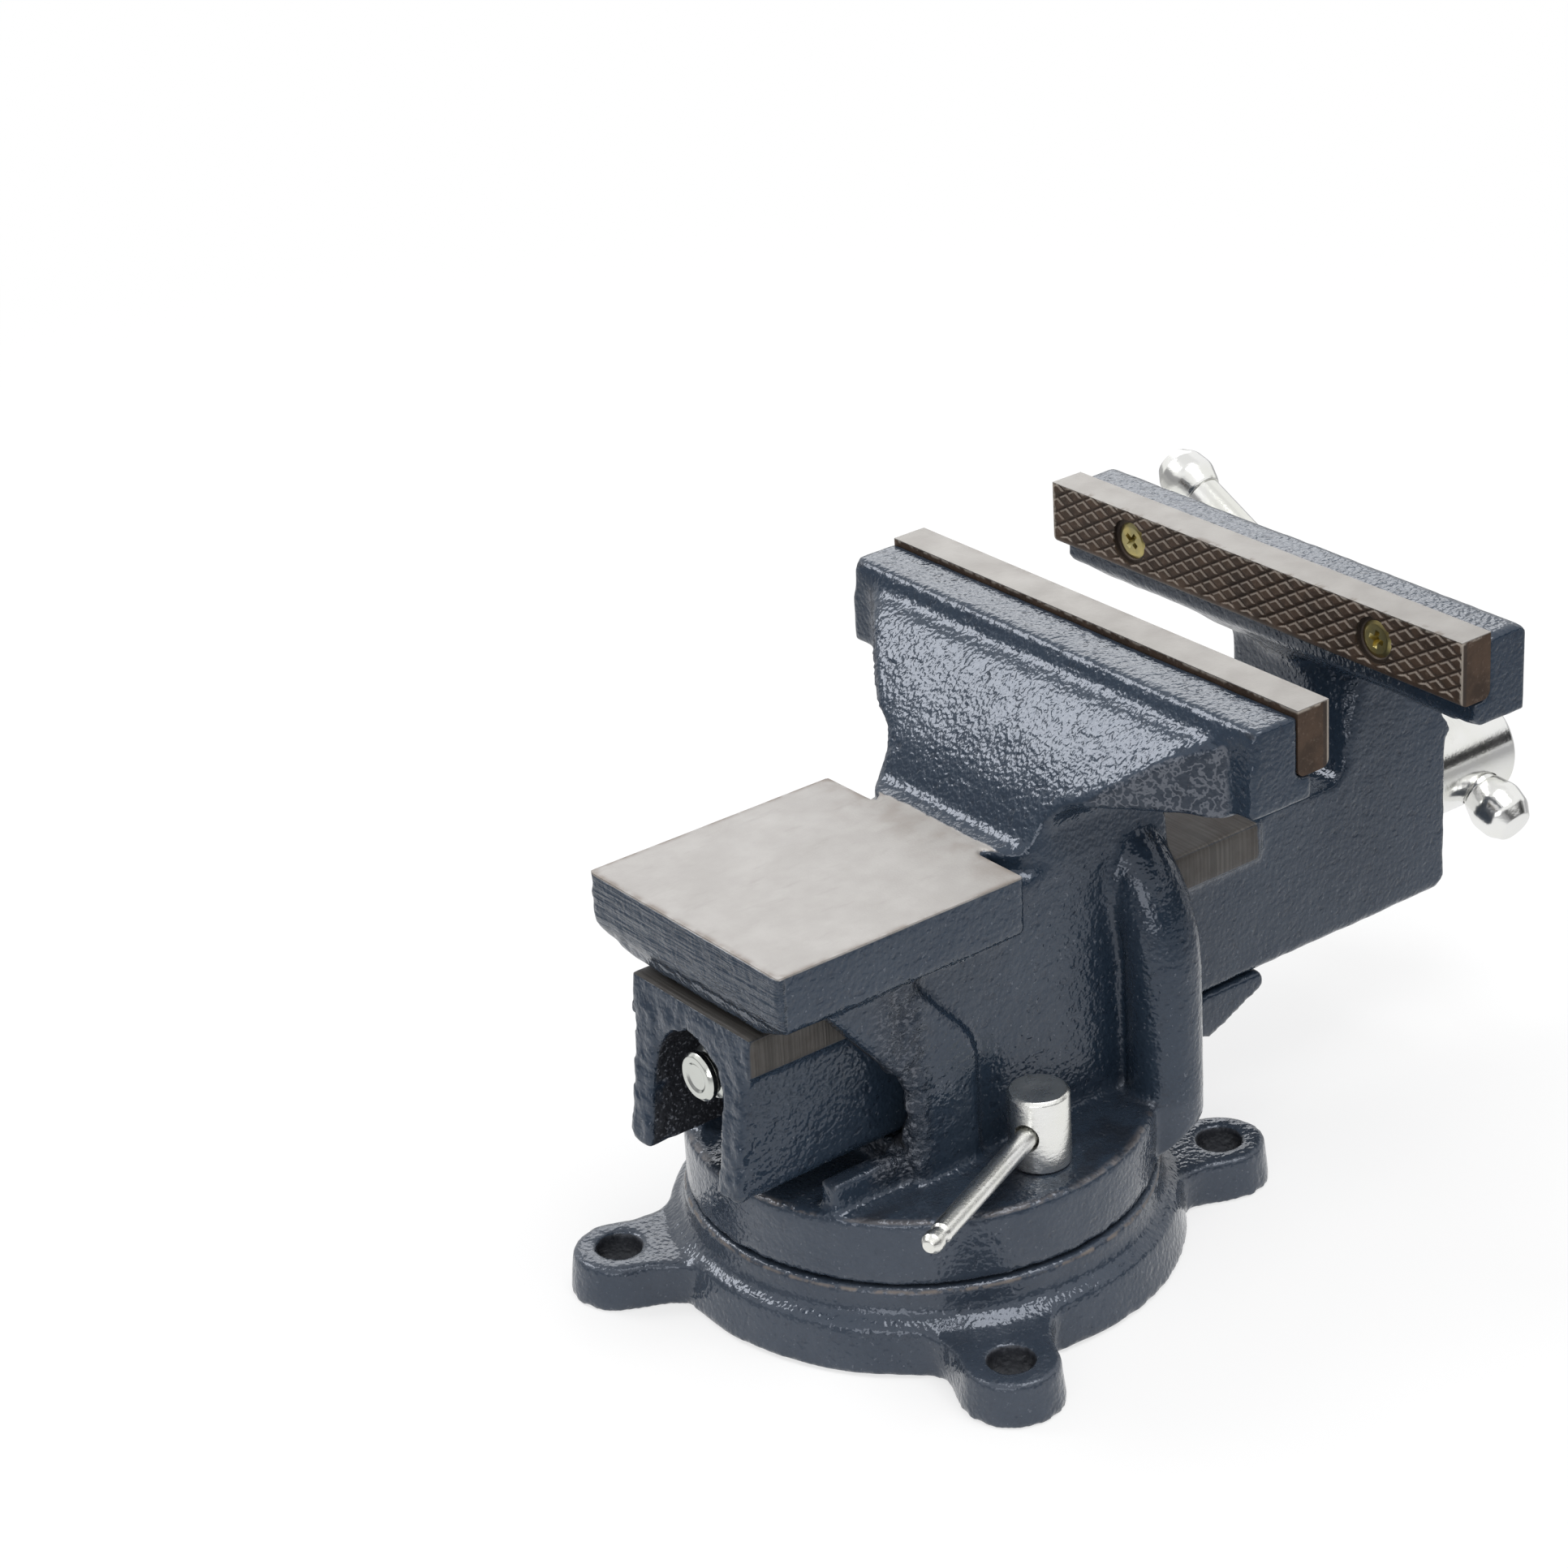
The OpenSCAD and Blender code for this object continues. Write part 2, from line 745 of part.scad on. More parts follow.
module lock_screw_right() {
    lock_screw(-1, half_turn + lever_turn);
}

module lock_screw_left() {
    lock_screw(1, lever_turn);
}

// Lock lever: a thin rod with a necked, rounded tip
module lock_lever(side, turn) {
    tip_l = 4;
    tip_r = 1.8;
    neck_l = 2;
    neck_r = lever_r * 0.78;
    tail_r = 1.5;
    neck_z = lever_reach - tip_l - neck_l;
    tip_z = lever_reach - tip_l;
    rim_r = 0.4;
    color(zinc)
        translate([lock_x, side * lock_y, lock_hole_z])
            rotate([0, quarter_turn, turn])
                rotate_extrude()
                    polygon(rounded([
                        [0, -lever_tail], [lever_r, -lever_tail, tail_r], [lever_r, neck_z, rim_r],
                        [neck_r, neck_z], [neck_r, tip_z], [lever_r, tip_z, rim_r],
                        [lever_r, lever_reach, tip_r], [0, lever_reach]
                    ]));
}

module lock_lever_right() {
    lock_lever(-1, half_turn + lever_turn);
}

module lock_lever_left() {
    lock_lever(1, lever_turn);
}

// Outline of the moving jaw's neck and nose, from the slide's top up to the jaw
module neck_outline(width) {
    neck_x = moving_seat_x + 3.5;
    foot_run = 9;
    foot_r = 6.5;
    neck_drop = 8;
    neck_r = 4;
    slope_run = 14.5;
    slope_drop = 3;
    slope_r = 8;
    brow_rise = 22;
    brow_step = 1.5;
    chin_rise = 17;
    chin_inset = 3;
    chin_r = 7;
    bead_rise = 2.5;
    bead_h = 3.5;
    bead_out = 3;
    bead_r = 1.5;
    bead_z = slide_top + bead_rise;
    slope_x = moving_front_x + slope_run;
    across(width, [
        [neck_x - foot_run, slide_top], [neck_x, slide_top, foot_r], [neck_x, head_z - neck_drop, neck_r],
        [moving_seat_x - plate_shelf + sink, head_z + sink], [moving_seat_x + sink, head_z + 2 * sink],
        [moving_seat_x + sink, head_top - sink], [moving_front_x - sink, wing_top],
        [moving_front_x + shoulder_run, wing_top, shoulder_r],
        [slope_x, head_z - slope_drop, slope_r], [slope_x + brow_step, slide_top + brow_rise, neck_r],
        [nose_x - chin_inset, slide_top + chin_rise, chin_r], [nose_x, bead_z + bead_h, bead_r],
        [nose_x + bead_out, bead_z, bead_r], [nose_x, bead_z - bead_h, edge_r],
        [nose_x, slide_top - 2 * sink], [neck_x - foot_run, slide_top - 2 * sink]
    ]);
}

// Slide: a hollow bar with machined strips beside its top, a leaning rear end and a rounded foot at the front
module slide_bar() {
    cast_r = 2;
    strip_r = 0.6;
    toe_r = 3;
    rear_x0 = tail_x - tail_lean;
    difference() {
        intersection() {
            along(rear_x0, nose_x, both_sides([
                [cast_side_y, slide_z, cast_r], [cast_side_y, slide_top - strip_h],
                [slide_w / 2, slide_top - strip_h], [slide_w / 2, slide_top, strip_r]
            ]));
            across(slide_w + 2 * past, [
                [tail_x, slide_top + past], [tail_x, slide_top], [rear_x0, slide_z], [nose_x, slide_z, toe_r],
                [nose_x, slide_top + past]
            ]);
        }
        along(rear_x0 - past, hollow_end_x, both_sides([
            [hollow_y, slide_z - past], [hollow_y, slide_z + hollow_h, hollow_y - run_fit]
        ]));
    }
}

module moving_jaw() {
    wing_blend_r = 9;
    color(paint)
        difference() {
            union() {
                slide_bar();
                neck_outline(2 * cast_side_y);
                intersection() {
                    neck_outline(jaw_w);
                    along(moving_seat_x - plate_shelf, nose_x, both_sides([
                        [cast_side_y, slide_top - sink], [cast_side_y, wing_z, wing_blend_r],
                        [wing_y, wing_z, wing_edge_r], [wing_y, head_top - sink]
                    ]));
                    wing_plan(moving_seat_x - plate_shelf, moving_front_x, cast_side_y, nose_x);
                }
                jaw_head(moving_seat_x, moving_head_t, -1);
            }
            rod_x(spindle_r + run_fit, hollow_end_x - past, nose_x + past, axis_z);
            jaw_screw_holes(moving_seat_x, -1);
        }
}

// Spindle: a stout head with a cross hole for the bar, a shank and the threaded length
module spindle() {
    tip_x = spindle_end_x + spindle_tip_l;
    color(zinc)
        difference() {
            translate([0, 0, axis_z])
                rotate([0, quarter_turn, 0])
                    rotate_extrude()
                        polygon(rounded([
                            [0, spindle_end_x], [spindle_tip_r, spindle_end_x, edge_r],
                            [spindle_tip_r, tip_x], [spindle_r, tip_x, edge_r], [spindle_r, head_x],
                            [head_r, head_x, edge_r],
                            [head_r, head_end_x, edge_r], [0, head_end_x]
                        ]));
            translate([bar_x, 0, axis_z])
                rotate([bar_tilt - quarter_turn, 0, 0])
                    cylinder(r = bar_r + run_fit, h = 3 * head_r, center = true);
            rod_y(pin_r + run_fit, 3 * spindle_r, pin_x, axis_z);
        }
}

// Washer behind the moving jaw's front wall that takes the pull when the jaw opens
module thrust_washer() {
    color(steel)
        difference() {
            rod_x(washer_r, washer_x, washer_x + washer_t, axis_z);
            rod_x(spindle_r + run_fit, washer_x - past, washer_x + washer_t + past, axis_z);
        }
}

module spindle_pin() {
    color(steel)
        rod_y(pin_r, pin_l, pin_x, axis_z);
}

// Puts a piece that is drawn along +Z on the bar's line through the spindle head
module on_bar(offset) {
    translate([bar_x, 0, axis_z])
        rotate([bar_tilt - quarter_turn, 0, 0])
            translate([0, 0, offset])
                children();
}

// Bar with a reduced spigot at each end for a knob; it rests slid up until the lower knob meets the head
module handle_bar() {
    color(zinc)
        on_bar(bar_l / 2 - knob_stop)
            rotate_extrude()
                polygon([
                    [0, -bar_half - bar_spigot_l], [bar_spigot_r, -bar_half - bar_spigot_l],
                    [bar_spigot_r, -bar_half], [bar_r, -bar_half], [bar_r, bar_half],
                    [bar_spigot_r, bar_half],
                    [bar_spigot_r, bar_half + bar_spigot_l], [0, bar_half + bar_spigot_l]
                ]);
}

// Knob pressed on the bar's end: a barrel with a flat outer face; it stands on the bar's shoulder
module knob() {
    collar_r = bar_r + hole_slack;
    collar_round = 0.5;
    belly_z = knob_l * 0.45;
    belly_round = 5;
    face_r = knob_r * 0.62;
    difference() {
        rotate_extrude()
            polygon(rounded([
                [0, 0], [collar_r, 0, collar_round], [knob_r, belly_z, belly_round],
                [face_r, knob_l, edge_r], [0, knob_l]
            ]));
        translate([0, 0, -past])
            cylinder(r = bar_spigot_r + run_fit, h = bar_spigot_l + past + run_fit);
    }
}

module handle_knob_upper() {
    color(zinc)
        on_bar(bar_l / 2 - knob_stop + bar_half)
            knob();
}

module handle_knob_lower() {
    color(zinc)
        on_bar(bar_l / 2 - knob_stop - bar_half)
            rotate([half_turn, 0, 0])
                knob();
}

base();
fixed_jaw();
fixed_jaw_plate();
fixed_plate_screws();
spindle_nut();
nut_bolt();
nut_washer();
lock_nut_right();
lock_nut_left();
lock_screw_right();
lock_screw_left();
lock_lever_right();
lock_lever_left();
moving_jaw();
moving_jaw_plate();
moving_plate_screws();
spindle();
thrust_washer();
spindle_pin();
handle_bar();
handle_knob_upper();
handle_knob_lower();
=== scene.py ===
import math

import bmesh
import bpy
import numpy as np
from mathutils import Matrix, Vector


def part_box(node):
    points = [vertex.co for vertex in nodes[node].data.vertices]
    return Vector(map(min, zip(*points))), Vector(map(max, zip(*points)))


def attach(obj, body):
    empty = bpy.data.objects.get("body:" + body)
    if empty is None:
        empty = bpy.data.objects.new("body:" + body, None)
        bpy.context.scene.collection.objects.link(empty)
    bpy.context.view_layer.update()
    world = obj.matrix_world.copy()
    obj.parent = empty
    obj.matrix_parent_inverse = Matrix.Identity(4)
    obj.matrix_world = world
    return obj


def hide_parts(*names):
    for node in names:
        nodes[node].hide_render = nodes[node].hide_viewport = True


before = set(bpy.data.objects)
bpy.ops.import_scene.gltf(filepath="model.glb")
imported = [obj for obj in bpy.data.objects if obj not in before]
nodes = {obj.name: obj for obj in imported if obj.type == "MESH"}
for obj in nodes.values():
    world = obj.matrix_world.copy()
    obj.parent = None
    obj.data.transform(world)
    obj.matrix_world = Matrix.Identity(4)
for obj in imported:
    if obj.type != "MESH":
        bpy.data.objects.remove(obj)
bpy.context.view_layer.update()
mm = 0.001

# Sizes in mm, and angles in degrees, that the boxes of the frame don't give
partSizes = {
    "slideDrop": 60.2,  # jaw plates' top down to the slide's top
    "anvilDrop": 38,  # the same down to the anvil
    "wingDrop": 6.4,  # the same down to the shoulder behind the fixed jaw's block
    "blockDrop": 1.5,  # the same down to the top of the block
    "blockDepth": 24.5,  # fixed plate's face to the block's back
    "anvilLength": 74,
    "lockRise": 20.06,  # lock screws' tops above the disc
    "headLength": 36,  # spindle's head
    "barInset": 12.5,  # spindle's end to the handle's axis
    "barTilt": 27,
    "screwReach": 45,  # plate screws from the middle
    "stripReach": 23.7,  # slide's bare side strips from the middle
    "lugReach": 79,  # lug holes from the swivel axis
    "lugTurns": (-24, -114, 156),
}


def faceAt(node, axis, side):
    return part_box(node)[side][axis]


plateTop = faceAt("fixed_jaw_plate", 2, 1)
jawHalf = faceAt("fixed_jaw_plate", 1, 1)
slideTop = plateTop - partSizes["slideDrop"] * mm
slideBottom = faceAt("moving_jaw", 2, 0)
anvilTop = plateTop - partSizes["anvilDrop"] * mm
wingTop = plateTop - partSizes["wingDrop"] * mm
blockTop = plateTop - partSizes["blockDrop"] * mm
blockBack = faceAt("fixed_jaw_plate", 0, 1) - partSizes["blockDepth"] * mm
anvilRear = faceAt("fixed_jaw", 0, 0)
anvilFront = anvilRear + partSizes["anvilLength"] * mm
movingFace = faceAt("moving_jaw_plate", 0, 0)
discTop = faceAt("lock_screw_right", 2, 1) - partSizes["lockRise"] * mm
spindleTail = faceAt("spindle", 0, 0)
spindleEnd = faceAt("spindle", 0, 1)
headStart = spindleEnd - partSizes["headLength"] * mm
axisZ = (faceAt("spindle", 2, 0) + faceAt("spindle", 2, 1)) / 2
barX = spindleEnd - partSizes["barInset"] * mm
barTilt = math.radians(partSizes["barTilt"])
barAcross = np.array([0, math.cos(barTilt), math.sin(barTilt)])
lugTurns = np.radians(partSizes["lugTurns"])
lugPlaces = np.stack([np.cos(lugTurns), np.sin(lugTurns)], 1) * partSizes["lugReach"] * mm


# Surfaces

def newPiece(name, verts, faces, smoothAngle=35):
    mesh = bpy.data.meshes.new(name)
    mesh.from_pydata(np.asarray(verts, float).tolist(), [], faces)
    mesh.validate()
    cleanMesh(mesh)
    piece = addObject(name, mesh)
    shadeSmooth(piece, smoothAngle)
    return piece


def addObject(name, data):
    made = bpy.data.objects.new(name, data)
    bpy.context.scene.collection.objects.link(made)
    return made


def cleanMesh(mesh):
    bm = bmesh.new()
    bm.from_mesh(mesh)
    bmesh.ops.remove_doubles(bm, verts=bm.verts, dist=1e-6)
    bmesh.ops.recalc_face_normals(bm, faces=bm.faces)
    bm.to_mesh(mesh)
    bm.free()


def shadeSmooth(piece, angle):
    piece.data.polygons.foreach_set("use_smooth", np.ones(len(piece.data.polygons), bool))
    piece.data.set_sharp_from_angle(angle=math.radians(angle))
    piece.data.update()


# Makes the modifiers' result the piece's own mesh
def bake(piece):
    graph = bpy.context.evaluated_depsgraph_get()
    made = bpy.data.meshes.new_from_object(piece.evaluated_get(graph))
    piece.modifiers.clear()
    piece.data = made


# A mesh's points or normals as rows of x, y, z
def vertexRows(mesh, field):
    flat = np.zeros(len(mesh.vertices) * 3)
    mesh.vertices.foreach_get(field, flat)
    return flat.reshape(-1, 3)


def setVertexValue(mesh, name, values):
    mesh.attributes.new(name, "FLOAT", "POINT").data.foreach_set("value", values)


# Faces of a closed tube: rings of points joined one to the next, with a cap on each end
def tubeFaces(rings, steps):
    i, j = np.meshgrid(np.arange(rings - 1), np.arange(steps), indexing="ij")
    k = (j + 1) % steps
    quads = np.stack([i * steps + j, i * steps + k, (i + 1) * steps + k, (i + 1) * steps + j], -1)
    caps = [list(range(steps)), list(range((rings - 1) * steps, rings * steps))]
    return quads.reshape(-1, 4).tolist() + caps


# A turned surface: radius against length, drawn about the local z axis, then put on an axis in the frame
def turned(name, lengths, radii, origin, along, steps=72, smoothAngle=35):
    turns = np.arange(steps) * 2 * np.pi / steps
    lengths, radii = np.asarray(lengths, float), np.asarray(radii, float)
    if radii.ndim == 1:
        radii = np.repeat(radii[:, None], steps, 1)
    heights = np.repeat(lengths[:, None], steps, 1)
    local = np.stack([radii * np.cos(turns), radii * np.sin(turns), heights], -1)
    verts = local.reshape(-1, 3) @ axisFrame(along).T + np.asarray(origin)
    return newPiece(name, verts, tubeFaces(len(lengths), steps), smoothAngle)


def axisFrame(along):
    w = np.asarray(along, float) / np.linalg.norm(along)
    u = np.cross([0, 0, 1], w)
    u = np.array([1.0, 0, 0]) if np.linalg.norm(u) < 1e-6 else u / np.linalg.norm(u)
    return np.stack([u, np.cross(w, u), w], 1)


# A profile of corners (length, radius, rounding) in mm, turned into points with round corners
def roundedProfile(corners, steps=6):
    out = []
    for i, (x, y, r) in enumerate(corners):
        b = np.array([x, y])
        if r == 0 or i in (0, len(corners) - 1):
            out.append(b)
            continue
        a, c = np.array(corners[i - 1][:2]), np.array(corners[i + 1][:2])
        u, v = (a - b) / np.linalg.norm(a - b), (c - b) / np.linalg.norm(c - b)
        half = math.acos(np.clip(u @ v, -1, 1)) / 2
        p, q = b + u * r / math.tan(half), b + v * r / math.tan(half)
        middle = b + (u + v) / np.linalg.norm(u + v) * r / math.sin(half)
        t = np.linspace(0, 1, steps)[:, None]
        bow = p * (1 - t) + q * t - middle
        out.extend(middle + bow / np.linalg.norm(bow, axis=1, keepdims=True) * r)
    out = np.array(out) * mm
    return out[:, 0], np.maximum(out[:, 1], 1e-6)


def cut(piece, cutters, smoothAngle=35):
    for cutter in cutters:
        step = piece.modifiers.new("cut", "BOOLEAN")
        step.operation, step.solver, step.object = "DIFFERENCE", "EXACT", cutter
        bake(piece)
        bpy.data.objects.remove(cutter)
    shadeSmooth(piece, smoothAngle)
    return piece


# A block with eight corners: four of its lower end, then the four above them
def block(corners):
    sides = [[0, 1, 5, 4], [1, 2, 6, 5], [2, 3, 7, 6], [3, 0, 4, 7]]
    return newPiece("cutter", corners, [[0, 1, 2, 3], [4, 5, 6, 7]] + sides)


# A block in mm between two plans of four corners, on one side of the middle
def planBlock(side, lower, upper, bottom, top):
    corners = [(x, y * side, bottom) for x, y in lower] + [(x, y * side, top) for x, y in upper]
    return block(np.array(corners) * mm)


def wear(piece, body, replaced, material):
    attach(piece, body)
    if replaced:
        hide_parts(*replaced)
    setMaterial(piece, material)


def setMaterial(piece, material):
    piece.data.materials.clear()
    piece.data.materials.append(material)


latticeHash = {
    "x": 73856093, "y": 19349663, "z": 83492791, "seed": 2654435761, "mix": 1274126177, "shift": 13,
    "mask": 0x7FFFFFFF, "half": 0x3FFFFFFF,
}


# Smooth noise from -1 to 1: random values on a lattice, blended with a quintic step
def latticeNoise(points, size, seed):
    keys = latticeHash
    q = points / size
    base = np.floor(q).astype(np.int64)
    t = q - base
    t = t * t * t * (t * (t * 6 - 15) + 10)
    total = np.zeros(len(points))
    for corner in np.ndindex(2, 2, 2):
        x, y, z = (base + np.array(corner)).T
        mixed = (x * keys["x"]) ^ (y * keys["y"]) ^ (z * keys["z"]) ^ (seed * keys["seed"])
        mixed = (mixed ^ (mixed >> keys["shift"])) * keys["mix"] & keys["mask"]
        weight = np.prod(np.where(np.array(corner) == 1, t, 1 - t), axis=1)
        total += weight * (mixed / keys["half"] - 1)
    return total


# Shader maths: a wire holds one socket and works with the usual signs

def rgba(colour):
    return colour + (1.0,) if isinstance(colour, tuple) else colour


class Wire:
    def __init__(self, tree, socket=None):
        self.tree, self.socket = tree, socket

    def node(self, kind, settings=None, inputs=None, output=0):
        made = self.tree.nodes.new(kind)
        for key, value in (settings or {}).items():
            setattr(made, key, value)
        for key, value in (inputs or {}).items():
            if isinstance(value, Wire):
                self.tree.links.new(value.socket, made.inputs[key])
            else:
                made.inputs[key].default_value = value
        return Wire(self.tree, made.outputs[output])

    def math(self, operation, *others):
        return self.node("ShaderNodeMath", {"operation": operation}, dict(enumerate((self,) + others)))

    def __add__(self, other):
        return self.math("ADD", other)

    def __mul__(self, other):
        return self.math("MULTIPLY", other)

    def __sub__(self, other):
        return self.math("SUBTRACT", other)

    def __rsub__(self, other):
        return self * -1 + other

    def __neg__(self):
        return self * -1

    def __abs__(self):
        return self.math("ABSOLUTE")

    __radd__ = __add__
    __rmul__ = __mul__

    def low(self, other):
        return self.math("MINIMUM", other)

    def high(self, other):
        return self.math("MAXIMUM", other)

    def root(self):
        return self.math("SQRT")

    # 0 below a, 1 above b, smooth between
    def rise(self, a, b):
        inputs = {"Value": self, "From Min": a, "From Max": b}
        return self.node("ShaderNodeMapRange", {"interpolation_type": "SMOOTHSTEP"}, inputs)

    # 1 between a and b with soft edges
    def within(self, a, b, soft):
        return self.rise(a - soft, a + soft) * (1 - self.rise(b - soft, b + soft))

    # The first colour where the wire is 0, the second where it is 1
    def blend(self, first, second):
        inputs = {0: self, 6: rgba(first), 7: rgba(second)}
        return self.node("ShaderNodeMix", {"data_type": "RGBA"}, inputs, 2)

    def parts(self):
        return [self.node("ShaderNodeSeparateXYZ", inputs={0: self}, output=k) for k in range(3)]


class Look:
    sockets = {"colour": "Base Color", "rough": "Roughness", "metal": "Metallic", "normal": "Normal",
               "specular": "Specular IOR Level", "tint": "Specular Tint"}

    def __init__(self, name):
        self.material = bpy.data.materials.new(name)
        self.material.use_nodes = True
        self.tree = self.material.node_tree
        self.tree.nodes.clear()
        self.shader = self.tree.nodes.new("ShaderNodeBsdfPrincipled")
        self.out = self.tree.nodes.new("ShaderNodeOutputMaterial")
        self.tree.links.new(self.shader.outputs[0], self.out.inputs[0])
        self.start = Wire(self.tree)
        self.place = self.start.node("ShaderNodeTexCoord", output=3)
        self.x, self.y, self.z = self.place.parts()

    def vector(self, operation, inputs):
        return self.start.node("ShaderNodeVectorMath", {"operation": operation}, inputs)

    def noise(self, scale, detail=2.0, rough=0.5, stretch=None):
        place = self.vector("MULTIPLY", {0: self.place, 1: stretch}) if stretch else self.place
        inputs = {"Vector": place, "Scale": scale, "Detail": detail, "Roughness": rough}
        return self.start.node("ShaderNodeTexNoise", inputs=inputs)

    # Round cells whose places wander
    def cells(self, scale, smooth, wanderScale, wander):
        inputs = {"Vector": self.place, "Scale": wanderScale, "Detail": 2.0}
        shift = self.start.node("ShaderNodeTexNoise", inputs=inputs, output=1)
        shift = self.vector("SCALE", {0: shift, "Scale": wander})
        place = self.vector("ADD", {0: self.place, 1: shift})
        inputs = {"Vector": place, "Scale": scale, "Smoothness": smooth}
        return self.start.node("ShaderNodeTexVoronoi", {"feature": "SMOOTH_F1"}, inputs)

    def bump(self, height, distance, strength=1.0):
        inputs = {"Height": height, "Distance": distance, "Strength": strength}
        return self.start.node("ShaderNodeBump", inputs=inputs)

    # Vertex value: on a casting above zero on outer edges and below zero in corners,
    # on a jaw plate 1 on the groove walls that face upward, where a highlight is painted
    def edge(self):
        return self.start.node("ShaderNodeAttribute", {"attribute_name": "edge"}, output=2)

    # Distance from an upright axis
    def away(self, x=0.0, y=0.0):
        across, ahead = self.x - x, self.y - y
        return (across * across + ahead * ahead).root()

    def finish(self, **inputs):
        for key, value in inputs.items():
            socket = self.shader.inputs[self.sockets[key]]
            if isinstance(value, Wire):
                self.tree.links.new(value.socket, socket)
            else:
                socket.default_value = rgba(value)
        return self.material


# Enamel: colours, noises as (scale, detail, roughness), and heights in steps of bumpDepth

paint = {
    "base": (0.017, 0.028, 0.045), "pale": (0.023, 0.035, 0.053), "dark": (0.010, 0.016, 0.027),
    "glint": (0.12, 0.135, 0.16), "cornerShade": (0.014, 0.016, 0.021), "primer": (0.22, 0.185, 0.155),
    "edgeWearAndHighlight": (0.11, 0.106, 0.102), "crack": (0.20, 0.17, 0.15), "lowLight": (0.082, 0.092, 0.112),
    "rust": (0.145, 0.122, 0.105), "sootAndShade": (0.009, 0.009, 0.011), "fleck": (0.17, 0.18, 0.205),
    "largeNoise": (38, 3), "fineNoise": (2400, 2), "rippleNoise": (760, 1), "broadNoise": (190, 2),
    "pitNoise": (430, 1), "speckNoise": (950, 2), "chipNoise": (240, 4, 0.6), "crackNoise": (170, 3, 0.6),
    "lowLightNoise": (70, 4, 0.6), "bareNoise": (160, 3),
    "peel": {"scale": 900, "smooth": 0.35, "wanderScale": 420, "wander": 0.0014},
    "peelHeight": -0.3, "pitHeight": -0.6, "rippleHeight": 2.1, "fineHeight": 0.07, "broadHeight": 2.6,
    "bumpDepth": 0.0001, "rough": 0.09, "bareRough": 0.50, "bareMetal": 0.6, "thinMetal": 0.3,
    "specular": 0.58, "tint": (0.84, 0.89, 1.0),
    "worn": 0.47, "baseWorn": 0.41,  # lower chips more
    # How far a layer hides what is below it
    "share": {"cornerShade": 0.55, "lowLight": 0.55, "peel": 0.2, "pit": 0.4, "glint": 0.55, "primer": 0.8,
              "edgeWearAndHighlight": 0.2, "crack": 0.8},
    # How much rougher each makes the paint
    "dull": {"large": 0.05, "fine": 0.04, "primer": 0.3, "edgeWearAndHighlight": 0.22, "cornerShade": 0.7, "rust": 0.35,
             "sootAndShade": 0.4, "bare": 0.14},
}


